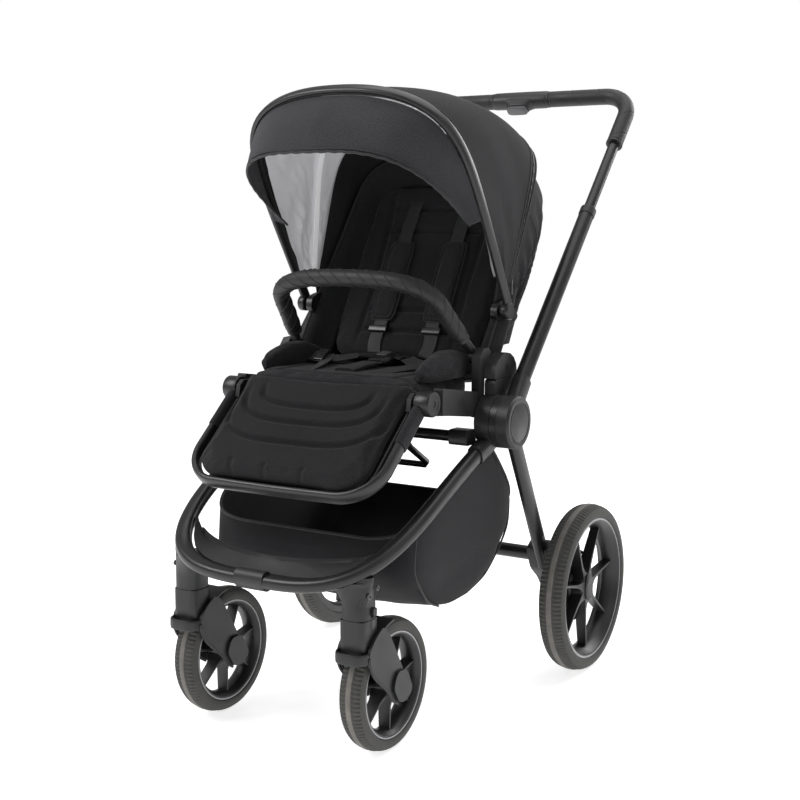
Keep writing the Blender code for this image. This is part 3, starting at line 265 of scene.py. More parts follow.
def cloth(name, dark, light, pitch, uv=False, turn=(0.0, 0.0, 0.0), rough=0.88, sheen=0.1, relief=0.00022):
    """Woven fabric: warp and weft at thread pitch, flecked yarn and soft tonal drift."""
    mat = look(name, dark, rough, Sheen_Weight=sheen, Sheen_Roughness=0.45, Specular_IOR_Level=0.16)
    where = coordinates(mat, uv, turn)
    threads = []
    for direction in ("X", "Y"):
        wave = waves(mat, where, direction, pitch, 0.6)
        wave.inputs["Detail Scale"].default_value = 2.0
        threads.append(wave.outputs["Fac"])
    weave = calc(mat, "MULTIPLY", threads[0], threads[1])
    fleck = noise_of(mat, where, 0.55 / pitch, 4.0, 0.7)
    drift = noise_of(mat, where, 9.0, 3.0)
    tone = calc(mat, "ADD", calc(mat, "MULTIPLY", fleck, 0.7), calc(mat, "MULTIPLY", drift, 0.3))
    shader = shader_of(mat)
    wire(mat, tint(mat, tone, dark, light, 0.36, 0.64), shader.inputs["Base Color"])
    wire(mat, spread(mat, drift, rough - 0.05, rough + 0.05), shader.inputs["Roughness"])
    bump(mat, calc(mat, "ADD", weave, calc(mat, "MULTIPLY", fleck, 0.6)), relief, 0.8)
    return mat


def ribbed(name, color, pitch, rough):
    """Narrow webbing with ribs along its length."""
    mat = look(name, color, rough, Sheen_Weight=0.15, Specular_IOR_Level=0.4)
    where = coordinates(mat, True)
    wave = waves(mat, where, "X", pitch, 0.2)
    cross = waves(mat, where, "Y", pitch * 0.6, 0.4)
    shader = shader_of(mat)
    fleck = noise_of(mat, where, 500.0, 3.0)
    wire(mat, tint(mat, fleck, color, tuple(c * 1.8 for c in color)), shader.inputs["Base Color"])
    height = calc(mat, "ADD", wave.outputs["Fac"], calc(mat, "MULTIPLY", cross.outputs["Fac"], 0.5))
    bump(mat, height, 0.00025, 0.7)
    return mat


FRAME_BLACK = painted("frame_black", (0.0085, 0.0085, 0.0088), 0.33)
PLASTIC = moulded("plastic_black", (0.011, 0.011, 0.0113), 0.45)
GREY = moulded("button_grey", (0.075, 0.075, 0.078), 0.45)
GLOSS = moulded("clip_plastic", (0.012, 0.012, 0.012), 0.26, 900.0, 0.00004)
BOARD = moulded("footboard_plastic", (0.0095, 0.0093, 0.0098), 0.62, 700.0, 0.0002)
RIM = moulded("rim_plastic", (0.008, 0.008, 0.0082), 0.38)
RING = painted("rim_line", (0.3, 0.3, 0.31), 0.34)
TREAD = rubber("tyre_rubber", (0.045, 0.044, 0.042))
RIB = rubber("tyre_rib", (0.115, 0.108, 0.098))
LEATHER = leather("leatherette", (0.0085, 0.0082, 0.0085))
SEAT = cloth("seat_fabric", (0.011, 0.011, 0.0125), (0.034, 0.033, 0.036), 0.0011)
BACKREST = cloth("backrest_fabric", (0.009, 0.009, 0.01), (0.026, 0.026, 0.028), 0.0011,
                 turn=(radians(-60), 0, 0))
LEGREST = cloth("legrest_fabric", (0.008, 0.0078, 0.0085), (0.024, 0.0232, 0.0252), 0.0011,
                turn=(radians(-41), 0, 0))
CANOPY = cloth("canopy_fabric", (0.0095, 0.009, 0.0102), (0.027, 0.0255, 0.0285), 0.0009, uv=True)
VISOR = cloth("visor_fabric", (0.02, 0.019, 0.021), (0.056, 0.054, 0.06), 0.0013, uv=True)
LINING = cloth("inner_lining", (0.008, 0.008, 0.009), (0.02, 0.02, 0.022), 0.0008, uv=True)
SILVER = cloth("silver_lining", (0.6, 0.6, 0.62), (0.74, 0.74, 0.76), 0.0006, uv=True, rough=0.5, sheen=0.0,
               relief=0.00008)
TAPE = cloth("seam_tape", (0.8, 0.8, 0.82), (0.9, 0.9, 0.92), 0.001, uv=True, rough=0.5, sheen=0.0)
# Painted light: the seam tape glows so that it does not fall into its own shade.
glow(TAPE, 0.26)
# Painted light: the silver lining glows to stand in for the light it reflects inside the canopy.
glow(SILVER, 0.1)
BASKET = cloth("basket_fabric", (0.0095, 0.009, 0.0102), (0.023, 0.0215, 0.0245), 0.0007, uv=True,
               rough=0.8)
BINDING = ribbed("binding", (0.012, 0.012, 0.013), 0.0016, 0.7)
WEBBING = ribbed("webbing", (0.0085, 0.0085, 0.0095), 0.0018, 0.42)
PAD_FABRIC = cloth("harness_pad_fabric", (0.012, 0.012, 0.013), (0.034, 0.033, 0.036), 0.0009,
                   turn=(radians(-60), 0, 0))
THREAD = ribbed("stitching", (0.03, 0.03, 0.032), 0.0012, 0.8)


# ---------------------------------------------------------------- mesh helpers

def body_of(node):
    return NODES[node].parent.name.split(":")[1]


def finish(obj, body, mat, sharp=40.0):
    """Smooth shading, material and body of a new piece; a piece between two bodies is baked in place and left
    without one.
    """
    mesh = obj.data
    mesh.polygons.foreach_set("use_smooth", [True] * len(mesh.polygons))
    mesh.set_sharp_from_angle(angle=radians(sharp))
    if not mesh.materials:
        mesh.materials.append(mat)
    if isinstance(body, str):
        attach(obj, body)
    else:
        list(body)
        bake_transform(obj)
    return obj


def linked(name, data):
    """A new object in the scene."""
    obj = bpy.data.objects.new(name, data)
    bpy.context.scene.collection.objects.link(obj)
    return obj


def power(value, exponent):
    """A power that keeps the sign."""
    return abs(value) ** (2 / exponent) * (1 if value >= 0 else -1)


def clamp(value):
    return min(max(value, 0.0), 1.0)


def smooth_step(p, q, r, s, t):
    """Catmull-Rom value between q and r, for numbers and for vectors."""
    return 0.5 * (2 * q + (r - p) * t + (2 * p - 5 * q + 4 * r - s) * t * t
                  + (3 * q - p - 3 * r + s) * t ** 3)


def mirrored(points):
    """A line from the left side to the middle, carried on to the right side."""
    return points + [Vector((-p.x, p.y, p.z)) for p in reversed(points[:-1])]


def ring_faces(rings, n, closed=False):
    """Quads between equal closed rings of n points."""
    faces = []
    for i in range(rings if closed else rings - 1):
        m = (i + 1) % rings
        for j in range(n):
            k = (j + 1) % n
            faces.append((i * n + j, i * n + k, m * n + k, m * n + j))
    return faces


def end_caps(rings, n):
    return [tuple(range(n)), tuple((rings - 1) * n + j for j in range(n))]


def mesh_object(name, verts, faces, uvs=None):
    mesh = bpy.data.meshes.new(name)
    mesh.from_pydata([tuple(v) for v in verts], [], faces)
    if uvs:
        layer = mesh.uv_layers.new(name="metres")
        for loop in mesh.loops:
            layer.data[loop.index].uv = uvs[loop.vertex_index]
    bm = bmesh.new()
    bm.from_mesh(mesh)
    bmesh.ops.recalc_face_normals(bm, faces=bm.faces)
    bm.to_mesh(mesh)
    bm.free()
    return linked(name, mesh)


def merge(obj, distance):
    """Weld points that lie on one another."""
    bm = bmesh.new()
    bm.from_mesh(obj.data)
    bmesh.ops.remove_doubles(bm, verts=bm.verts, dist=distance)
    bm.to_mesh(obj.data)
    bm.free()


def bevel(obj, width, segments=2, angle=38.0):
    step = obj.modifiers.new("soft_edges", "BEVEL")
    step.width = width
    step.segments = segments
    step.limit_method = "ANGLE"
    step.angle_limit = radians(angle)
    step.harden_normals = True
    return obj


def solidify(obj, thickness, offset=-1.0):
    step = obj.modifiers.new("thickness", "SOLIDIFY")
    step.thickness = thickness
    step.offset = offset
    return obj


def subdivide(obj):
    step = obj.modifiers.new("subdivision", "SUBSURF")
    step.levels = 1
    step.render_levels = 1
    return obj


def apply_modifiers(obj):
    bpy.context.view_layer.update()
    graph = bpy.context.evaluated_depsgraph_get()
    mesh = bpy.data.meshes.new_from_object(obj.evaluated_get(graph), depsgraph=graph)
    obj.modifiers.clear()
    obj.data = mesh
    return obj


def join(name, *objs):
    """Join finished meshes into one piece."""
    bm = bmesh.new()
    mats = []
    for obj in objs:
        if obj.modifiers:
            apply_modifiers(obj)
        for mat in obj.data.materials:
            if mat not in mats:
                mats.append(mat)
        base = len(bm.faces)
        bm.from_mesh(obj.data)
        bm.faces.ensure_lookup_table()
        local = [mats.index(m) for m in obj.data.materials]
        for face in bm.faces[base:]:
            face.material_index = local[face.material_index] if local else 0
    mesh = bpy.data.meshes.new(name)
    bm.to_mesh(mesh)
    bm.free()
    for mat in mats:
        mesh.materials.append(mat)
    for obj in objs:
        bpy.data.objects.remove(obj)
    return linked(name, mesh)


def lengths(points, closed=False):
    """Running length along a polyline."""
    total = [0.0]
    ring = list(points) + ([points[0]] if closed else [])
    for a, b in zip(ring, ring[1:]):
        total.append(total[-1] + (Vector(b) - Vector(a)).length)
    return total


def surface(name, rows):
    """One sheet through a list of equal rows of points, with cloth metres as its UV."""
    n = len(rows[0])
    down = lengths([row[n // 2] for row in rows])
    verts, uvs = [], []
    for row, v in zip(rows, down):
        across = lengths(row)
        middle = across[-1] / 2
        for point, u in zip(row, across):
            verts.append(point)
            uvs.append((u - middle, v))
    faces = []
    for i in range(len(rows) - 1):
        for j in range(n - 1):
            a = i * n + j
            faces.append((a, a + 1, a + n + 1, a + n))
    return mesh_object(name, verts, faces, uvs)


def ellipse(width, height, count=20, square=2.0):
    """Closed section of given full sizes, squarer as its last value grows."""
    turns = [2 * pi * i / count for i in range(count)]
    return [(width / 2 * power(cos(a), square), height / 2 * power(sin(a), square)) for a in turns]


def tube(name, path, sections, up=None, closed=False):
    """Carry a closed section along a path; up keeps it level, otherwise it turns least."""
    if not isinstance(sections[0], list):
        sections = [sections] * len(path)
    points = [Vector(p) for p in path]
    count = len(points)
    tangents = []
    for i in range(count):
        before = points[i - 1] if closed or i > 0 else points[0]
        after = points[(i + 1) % count] if closed or i < count - 1 else points[-1]
        tangents.append((after - before).normalized())
    side = None
    verts, uvs = [], []
    run = lengths(points)
    for point, tangent, section, v in zip(points, tangents, sections, run):
        if up is not None:
            side = tangent.cross(Vector(up)).normalized()
        elif side is None:
            helper = Vector((0, 0, 1)) if abs(tangent.z) < 0.8 else Vector((1, 0, 0))
            side = tangent.cross(helper).normalized()
        else:
            side = (side - tangent * side.dot(tangent)).normalized()
        above = side.cross(tangent)
        around = lengths([(a, b, 0.0) for a, b in section], True)
        for (a, b), u in zip(section, around):
            verts.append(point + side * a + above * b)
            uvs.append((u, v))
    n = len(sections[0])
    faces = ring_faces(count, n, closed)
    if not closed:
        faces += end_caps(count, n)
    return mesh_object(name, verts, faces, uvs)


def lathe(name, profile, center, count=72):
    """Turn a closed (radius, x) profile about the X axis through center (y, z)."""
    n = len(profile)
    verts = []
    for i in range(count):
        a = 2 * pi * i / count
        verts += [(x, center[0] + r * cos(a), center[1] + r * sin(a)) for r, x in profile]
    faces = []
    for i in range(count):
        k = (i + 1) % count
        for j in range(n):
            m = (j + 1) % n
            if profile[j][0] or profile[m][0]:
                faces.append((i * n + j, i * n + m, k * n + m, k * n + j))
    obj = mesh_object(name, verts, faces)
    bm = bmesh.new()
    bm.from_mesh(obj.data)
    bmesh.ops.remove_doubles(bm, verts=bm.verts, dist=1e-6)
    bmesh.ops.recalc_face_normals(bm, faces=bm.faces)
    bm.to_mesh(obj.data)
    bm.free()
    return obj


def spun(name, side, profile, center, count):
    """A lathed part on one side of the object; its profile is written for the left."""
    return lathe(name, [(r, side * x) for r, x in profile], (center.y, center.z), count)


def prism(name, outline, low, high):
    """Extrude a (y, z) outline along X."""
    n = len(outline)
    verts = [(low, y, z) for y, z in outline] + [(high, y, z) for y, z in outline]
    faces = [tuple(range(n)), tuple(range(n, 2 * n))]
    faces += [(i, (i + 1) % n, n + (i + 1) % n, n + i) for i in range(n)]
    return mesh_object(name, verts, faces)


def rounded(outline, radius, steps):
    """An outline with its corners cut back to curves."""
    result = []
    n = len(outline)
    for i in range(n):
        here = Vector(outline[i])
        before = Vector(outline[i - 1]) - here
        after = Vector(outline[(i + 1) % n]) - here
        cutback = min(radius, before.length * 0.45, after.length * 0.45)
        a = here + before.normalized() * cutback
        b = here + after.normalized() * cutback
        for k in range(steps + 1):
            t = k / steps
            point = a * (1 - t) ** 2 + here * 2 * t * (1 - t) + b * t * t
            result.append(tuple(point))
    return result


def resample(points, count):
    """The same line in count equal steps."""
    run = lengths(points)
    result = []
    i = 0
    for k in range(count + 1):
        target = run[-1] * k / count
        while i < len(points) - 2 and run[i + 1] < target:
            i += 1
        t = (target - run[i]) / max(run[i + 1] - run[i], 1e-9)
        result.append(Vector(points[i]).lerp(Vector(points[i + 1]), min(max(t, 0.0), 1.0)))
    return result


def curve(points, count):
    """A smooth line through a few points (Catmull-Rom), in count equal steps."""
    pts = [Vector(p) for p in points]
    ends = [2 * pts[0] - pts[1]] + pts + [2 * pts[-1] - pts[-2]]
    fine = [smooth_step(*four, k / 12) for four in zip(ends, ends[1:], ends[2:],
                                                       ends[3:]) for k in range(12)]
    fine.append(pts[-1])
    return resample(fine, count)


def refined(node, mat, width=0.0006, sharp=38.0):
    """The CAD node's shape with softened edges and smooth shading."""
    bm = bmesh.new()
    bm.from_mesh(NODES[node].data)
    bmesh.ops.remove_doubles(bm, verts=bm.verts, dist=2e-5)
    bmesh.ops.dissolve_limit(bm, angle_limit=radians(0.7), verts=bm.verts, edges=bm.edges)
    mesh = bpy.data.meshes.new(node + "_shape")
    bm.to_mesh(mesh)
    bm.free()
    mesh.materials.clear()
    obj = linked(node + "_shape", mesh)
    if mesh.has_custom_normals:
        mesh.normals_split_custom_set([(0, 0, 0)] * len(mesh.loops))
    finish(obj, body_of(node), mat, sharp)
    bevel(obj, width, 2, sharp)
    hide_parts(node)
    return obj


def screw(name, at, direction, radius):
    """Domed screw head with a six-sided recess."""
    axis = Vector(direction).normalized()
    base = axis.to_track_quat("X", "Z").to_matrix()
    head = [(0.0, 0.0008), (radius * 0.45, 0.0008), (radius * 0.5, 0.0022), (radius * 0.8, 0.002),
            (radius, 0.001), (radius, -0.001), (0.0, -0.001)]
    obj = lathe(name, head, (0.0, 0.0), 24)
    obj.data.transform(Matrix.Translation(Vector(at)) @ base.to_4x4())
    finish(obj, "chassis", GREY, 30.0)


# ---------------------------------------------------------------- frame places

def back(s, x, lift=0.0):
    """Point on the backrest: s up the tube line, lift towards the child."""
    y = RECLINE.y + s * cos(BACK_ANGLE) - lift * sin(BACK_ANGLE)
    return Vector((x, y, RECLINE.z + s * sin(BACK_ANGLE) + lift * cos(BACK_ANGLE)))


def leg(s, x, lift=0.0):
    """Point on the footrest: s down from its hinge, lift off its plane."""
    y = FOOT.y - s * cos(FOOT_ANGLE) - lift * sin(FOOT_ANGLE)
    return Vector((x, y, FOOT.z - s * sin(FOOT_ANGLE) + lift * cos(FOOT_ANGLE)))


def bar(reach, x, lift=0.0):
    """Point on the bumper bar's plane: reach out from its hinge, lift off the plane."""
    y = BAR.y - reach * cos(BAR_ANGLE) + lift * sin(BAR_ANGLE)
    return Vector((x, y, BAR.z + reach * sin(BAR_ANGLE) + lift * cos(BAR_ANGLE)))


def handle(s, x, lift=0.0):
    """Point on the handle: s up its tubes from the hub."""
    y = HUB.y + s * cos(HANDLE_ANGLE) - lift * sin(HANDLE_ANGLE)
    return Vector((x, y, HUB.z + s * sin(HANDLE_ANGLE) + lift * cos(HANDLE_ANGLE)))


def hood(degrees, reach, x, behind=0.0):
    """Point on the canopy: turned up by degrees about its hinge, reach out from it."""
    a = radians(degrees)
    y = HOOD.y - reach * cos(a) + behind * sin(a)
    return Vector((x, y, HOOD.z + reach * sin(a) + behind * cos(a)))


def tube_height(y):
    """Height of the front tube, which falls in a shallow curve towards the bow."""
    run = y - FRAME_FRONT[0]
    return FRAME_FRONT[1] + FRAME_SLOPE * run - FRAME_CURVE * run * run


def tube_point(a):
    """Centre of the front tube, from the left hub round the bow to the right hub."""
    c, s = cos(a), max(sin(a), 0.0)
    x = FRAME_HALF_WIDTH * power(c, FRAME_SQUARE_X)
    y = FRAME_REAR_Y + (FRAME_FRONT[0] - FRAME_REAR_Y) * s ** (2 / FRAME_SQUARE_Y)
    return Vector((x, y, tube_height(y)))


def handle_bend(start, side, steps, at_end):
    """Centre line of the handle: a straight side from start, one bend, and its end at x = at_end."""
    line = [handle(s, side * HANDLE_X) for s in start]
    for k in range(steps + 1):
        a = pi / 2 * k / steps
        line.append(handle(HANDLE_LENGTH - HANDLE_CORNER + HANDLE_CORNER * sin(a),
                           side * (HANDLE_X - HANDLE_CORNER + HANDLE_CORNER * cos(a))))
    return line + [handle(HANDLE_LENGTH, side * at_end)]


# ---------------------------------------------------------------- wheels

def tyre(word, side, front):
    """Tyre with a plain centre rib and a row of wavy tread blocks on each side of it."""
    where, end = (FRONT, "front") if front else (REAR, "rear")
    bead, top, half, pitches = (0.0828, 0.103, 0.0205, 92) if front else (0.1268, 0.15, 0.0236, 118)
    x0, center = side * where.x, (where.y, where.z)
    tall = top - bead
    # Each point: share of the height, share of the half width, and whether the tread cuts into it.
    profile = [
        (0.0, 0.86, 0), (0.05, 0.95, 0), (0.12, 0.99, 0), (0.3, 1.0, 0), (0.52, 0.97, 0), (0.66, 0.91, 0),
        (0.72, 0.88, 0), (0.76, 0.84, 1), (0.83, 0.74, 1), (0.88, 0.64, 1), (0.92, 0.53, 1),
        (0.945, 0.42, 1), (0.962, 0.31, 1), (0.968, 0.24, 0), (0.975, 0.2, 0), (1.0, 0.16, 0)]
    line = profile + [(h, -k, cut) for h, k, cut in reversed(profile)]
    count = pitches * TREAD_STEPS
    verts = []
    for i in range(count):
        a = 2 * pi * i / count
        for h, k, cut in line:
            r = bead + tall * h
            if cut:
                wave = i / TREAD_STEPS + 0.38 * abs(((abs(k) - 0.31) * 5.0) % 1.0 - 0.5) * 2
                r -= TREAD_DEPTH * (0.5 + 0.5 * cos(2 * pi * wave)) ** 2
            verts.append((x0 + half * k, center[0] + r * cos(a), center[1] + r * sin(a)))
    n = len(line)
    obj = mesh_object(f"{end}_tread_{word}", verts, ring_faces(count, n, True))
    obj.data.materials.append(TREAD)
    obj.data.materials.append(RIB)
    middle = len(profile)
    rib = set(range(middle - 2, middle + 2))
    for face in obj.data.polygons:
        if {v % n for v in face.vertices} <= rib:
            face.material_index = 1
    finish(obj, f"{end}_wheel_{word}", TREAD, 50.0)
    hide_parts(f"{end}_tyre_{word}")


def spoke(center, angle, radii, widths, lows, highs):
    """One tapered spoke plate with a flared foot, from the hub out to the rim."""
    cy, cz = center
    c, s = cos(angle), sin(angle)
    loops = []
    for r, w, low, high in zip(radii, widths, lows, highs):
        corners = []
        for t, x in ((-0.5, low), (0.5, low), (0.5, high), (-0.5, high)):
            corners.append((x, cy + r * c - w * t * s, cz + r * s + w * t * c))
        loops.append(corners)
    verts = [v for loop in loops for v in loop]
    return mesh_object("spoke", verts, ring_faces(len(loops), 4) + end_caps(len(loops), 4))


def rear_wheel(word, side):
    """Spoked rear wheel with its brake ring, and the release button in the middle."""
    center = (REAR.y, REAR.z)

    def turned(name, profile):
        return spun(name, side, profile, REAR, 96)

    barrel = turned("barrel", [
        (0.1265, 0.2452), (0.1265, 0.284), (0.1245, 0.2852), (0.1212, 0.2852), (0.119, 0.2835),
        (0.115, 0.277), (0.112, 0.274), (0.1085, 0.261), (0.1078, 0.256), (0.1105, 0.253), (0.114, 0.2455)])
    hub = turned("hub", [
        (0.0066, 0.2665), (0.0066, 0.2426), (0.03, 0.2426), (0.031, 0.244), (0.031, 0.25), (0.027, 0.253),
        (0.025, 0.27), (0.0235, 0.2738), (0.019, 0.2752), (0.0, 0.2752), (0.0, 0.2665)])
    pieces = [barrel, hub]
    radii = (0.02, 0.027, 0.033, 0.042, 0.07, 0.11)
    widths = (0.019, 0.014, 0.0088, 0.006, 0.0046, 0.004)
    lows = [side * v for v in (0.253, 0.252, 0.2515, 0.2515, 0.253, 0.257)]
    highs = [side * v for v in (0.274, 0.2735, 0.2725, 0.2715, 0.272, 0.2738)]
    for k in range(7):
        pieces.append(spoke(center, -pi / 2 + 2 * pi * k / 7, radii, widths, lows, highs))
    pieces.append(turned("brake_ring", [
        (0.03, 0.2426), (0.031, 0.25), (0.044, 0.25), (0.044, 0.2446), (0.0425, 0.2426)]))
    for k in range(44):
        pieces.append(spoke(center, 2 * pi * k / 44, (0.0305, 0.06), (0.0018, 0.0022),
                            [side * 0.244, side * 0.2475], [side * 0.25, side * 0.25]))
    pieces.append(turned("flange", [
        (0.059, 0.2465), (0.062, 0.246), (0.064, 0.248), (0.064, 0.2515), (0.06, 0.252), (0.059, 0.251)]))
    obj = join(f"rear_rim_shape_{word}", *pieces)
    finish(obj, f"rear_wheel_{word}", RIM, 35.0)
    bevel(obj, 0.0007, 2, 50.0)
    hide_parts(f"rear_rim_{word}")
    line = turned(f"rear_rim_line_{word}", [
        (0.1228, 0.2848), (0.1228, 0.2856), (0.1262, 0.2852), (0.1262, 0.2844)])
    finish(line, f"rear_wheel_{word}", RING, 60.0)
    oval = [(center[0] + u, center[1] + v) for u, v in ellipse(0.0332, 0.048, 40, 2.2)]
    cap = prism(f"rear_cap_{word}", oval, *sorted((side * 0.2746, side * 0.2776)))
    bevel(cap, 0.0014, 3)
    turns = [radians(12 + 156 * k / 20) for k in range(21)]
    crescent = [(center[0] + 0.0138 * cos(a), center[1] + 0.0205 * sin(a)) for a in turns]
    moon = prism("moon", crescent, *sorted((side * 0.2768, side * 0.2784)))
    bevel(moon, 0.0006, 2)
    whole = join(f"rear_cap_{word}_shape", cap, moon)
    finish(whole, f"wheel_release_{word}", PLASTIC, 35.0)
    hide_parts(f"wheel_release_{word}")


def front_wheel(word, side):
    """Spoked front wheel with a bright line on both faces of its rim."""
    center = (FRONT.y, FRONT.z)
    x0 = side * FRONT.x

    def turned(name, profile):
        return lathe(name, [(r, x0 + x) for r, x in profile], center, 84)

    barrel = turned("barrel", [
        (0.0826, -0.0168), (0.0826, 0.0168), (0.0805, 0.0178), (0.0775, 0.0172), (0.074, 0.013),
        (0.0712, 0.008), (0.0704, 0.0), (0.0712, -0.008), (0.074, -0.013), (0.0775, -0.0172),
        (0.0805, -0.0178)])
    hub = turned("hub", [
        (0.0055, -0.019), (0.015, -0.019), (0.0165, -0.0176), (0.0172, 0.0), (0.0165, 0.0176), (0.015, 0.019),
        (0.0055, 0.019)])
    pieces = [barrel, hub]
    radii = (0.015, 0.02, 0.026, 0.036, 0.0725)
    widths = (0.0125, 0.0088, 0.0058, 0.0042, 0.0034)
    reach = [0.016 * f for f in (1.0, 0.92, 0.8, 0.66, 0.62)]
    for k in range(7):
        pieces.append(spoke(center, -pi / 2 + 2 * pi * k / 7, radii, widths,
                            [x0 - v for v in reach], [x0 + v for v in reach]))
    obj = join(f"front_rim_shape_{word}", *pieces)
    finish(obj, f"front_wheel_{word}", RIM, 35.0)
    bevel(obj, 0.0006, 2, 50.0)
    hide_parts(f"front_rim_{word}")
    for name, at in (("a", -1.0), ("b", 1.0)):
        section = ((0.08, 0.0174), (0.08, 0.0182), (0.0822, 0.0182), (0.0822, 0.0172))
        line = turned(f"front_rim_line_{word}_{name}", [(r, at * x) for r, x in section])
        finish(line, f"front_wheel_{word}", RING, 60.0)


# ---------------------------------------------------------------- frame tubes

FORK_PLATE = (
    (-0.41, 0.18), (-0.396, 0.196), (-0.376, 0.208), (-0.365, 0.204), (-0.3535, 0.19), (-0.318, 0.131),
    (-0.306, 0.102), (-0.312, 0.084), (-0.333, 0.078), (-0.348, 0.088), (-0.36, 0.104), (-0.377, 0.119),
    (-0.4, 0.14), (-0.409, 0.156), (-0.412, 0.17),
)
AXLE_CAP = (
    (-0.016, 0.027), (0.011, 0.026), (0.0275, -0.006), (0.025, -0.015), (0.009, -0.0255), (-0.01, -0.0225),
    (-0.027, 0.004),
)


def fork(word, side):
    """Caster fork: square post, hollow lip in front of the wheel, two side plates and the axle caps."""
    x0, y0, body = side * FRONT.x, CASTER_Y, f"caster_{word}"
    post = tube("post", [(x0, y0, z) for z in (0.17, 0.172, 0.2, 0.2236, 0.2243)],
                [ellipse(a, a, 48, 5.0) for a in (0.042, 0.044, 0.0444, 0.0444, 0.0432)], up=(0, 1, 0))
    plates = []
    for way in (-1.0, 1.0):
        inner, outer = sorted((x0 + way * 0.024, x0 + way * 0.029))
        plates.append(prism("side_plate", rounded(FORK_PLATE, 0.01, 5), inner, outer))
        edge = [(x0 + way * 0.0285, y, z) for y, z in FORK_PLATE[8:15]]
        plates.append(tube("plate_edge", curve(edge, 24), ellipse(0.005, 0.0044, 12)))
        shape = [(FRONT.y + u, FRONT.z + v) for u, v in AXLE_CAP]
        inner, outer = sorted((x0 + way * 0.0285, x0 + way * 0.0335))
        plates.append(prism("axle_cap", rounded(shape, 0.01, 5), inner, outer))
    lip = [(x0 + 0.0265 * power(cos(a), 2 / 0.55), -0.4 - 0.029 * sin(a) ** 0.75, 0.169)
           for a in (pi * k / 32 for k in range(33))]
    collar = tube("lip", lip, ellipse(0.0048, 0.017, 20, 4.0), up=(0, 0, 1))
    turns = [radians(100 + 34 * k / 14) for k in range(15)]
    guard = [(FRONT.y + r * cos(a), FRONT.z + r * sin(a))
             for r, way in ((0.1085, turns), (0.1125, turns[::-1])) for a in way]
    fender = prism("fender", guard, x0 - 0.0285, x0 + 0.0285)
    stem = tube("stem", [(x0, y0, 0.215), (x0, y0, 0.254)], ellipse(0.0158, 0.0158, 24))
    axle = tube("axle", [(x0 - 0.025, FRONT.y, FRONT.z), (x0 + 0.025, FRONT.y, FRONT.z)],
                ellipse(0.0098, 0.0098, 20))
    whole = join(f"fork_shape_{word}", post, collar, fender, stem, axle, *plates)
    finish(whole, body, PLASTIC, 32.0)
    bevel(whole, 0.0008, 2, 40.0)
    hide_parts(f"fork_{word}")
    wide = ellipse(0.003, 0.01, 16, 3.0)
    slot = tube(f"swivel_slot_{word}", [(x0 + side * 0.0219, y0 + 0.004, z) for z in (0.2236, 0.213, 0.208)],
                [wide, wide, ellipse(0.003, 0.0016, 16)], up=(0, 1, 0))
    finish(slot, body, GLOSS, 40.0)
    for name, y, z in (("a", y0 - 0.01, 0.262), ("b", y0 + 0.012, 0.27)):
        screw(f"housing_screw_{word}_{name}", (x0 + side * 0.025, y, z), (side, 0, 0), 0.0042)


def front_sleeve():
    """Cloth-like grip sleeve round the middle of the front bow."""
    line = resample([tube_point(pi / 2 + 0.03 * (k / 20 - 1.0)) for k in range(41)], 12)
    cover = tube("front_bow_sleeve", line, ellipse(0.0275, 0.033, 40), up=(0, -0.5, 0.87))
    bevel(cover, 0.0008)
    finish(cover, "chassis", PLASTIC, 50.0)


def frame_tubes():
    """Tubes of the chassis, handle, footrest and canopy bow, round and even."""
    angles = [0.0021 + (pi - 0.0042) * (k / 400) for k in range(401)]
    path = resample([tube_point(a) for a in angles], 150)
    sections = []
    for p in path:
        bow = clamp((-0.2 - p.y) / 0.2)
        sections.append(ellipse(0.022 + 0.005 * bow, 0.026 - 0.005 * bow, 28, 2.6))
    front = tube("front_tube", path, sections, up=(0, 0, 1))
    finish(front, "chassis", FRAME_BLACK, 50.0)
    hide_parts("front_frame")

    half, corner = 0.177, 0.065
    turns = [pi / 2 * k / 16 for k in range(17)]
    left = [(half, 0.0), (half, 0.06), (half, 0.11)]
    left += [(half - corner + corner * cos(a), 0.131 + 0.064 * sin(a)) for a in turns]
    left += [(0.06, 0.196), (0.0, 0.1965)]
    outline = resample(mirrored([leg(s, x) for x, s in left]), 110)
    bow = tube("footrest_bow", outline, ellipse(0.012, 0.024, 24, 2.6), up=LEG_NORMAL)
    profile = ((0.0055, 0.1715), (0.0195, 0.1715), (0.02, 0.1725), (0.02, 0.1955), (0.019, 0.1975),
               (0.0135, 0.1975), (0.013, 0.1967), (0.0055, 0.1967))
    whole = join("footrest_bow_shape", bow, *[spun("hinge", side, profile, FOOT, 48) for _, side in SIDES])
    finish(whole, "footrest", FRAME_BLACK, 45.0)
    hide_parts("footrest_frame")

    slider = mirrored(handle_bend([0.3], 1.0, 16, 0.0))
    upper = tube("upper_handle_tube", slider, ellipse(0.02, 0.02, 28), up=HANDLE_UP)
    finish(upper, "handle_upper", FRAME_BLACK, 50.0)
    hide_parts("handle_slider")

    bow_path = [hood(BOW_DEGREES, r, x, 0.008) for r, x in resample2(arch(0.407, 0.204, 0.2085), 90)]
    bow_up = (0, sin(radians(BOW_DEGREES)), cos(radians(BOW_DEGREES)))
    bow = tube("canopy_bow_tube", bow_path, ellipse(0.011, 0.02, 22, 2.8), up=bow_up)
    profile = ((0.0045, 0.1985), (0.0135, 0.1985), (0.014, 0.1992), (0.014, 0.2105), (0.0128, 0.2118),
               (0.0, 0.2118), (0.0, 0.2032), (0.0045, 0.2032))
    shape = join("canopy_bow_shape", bow, *[spun("hinge", side, profile, HOOD, 40) for _, side in SIDES])
    finish(shape, "canopy", FRAME_BLACK, 45.0)
    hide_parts("canopy_bow")


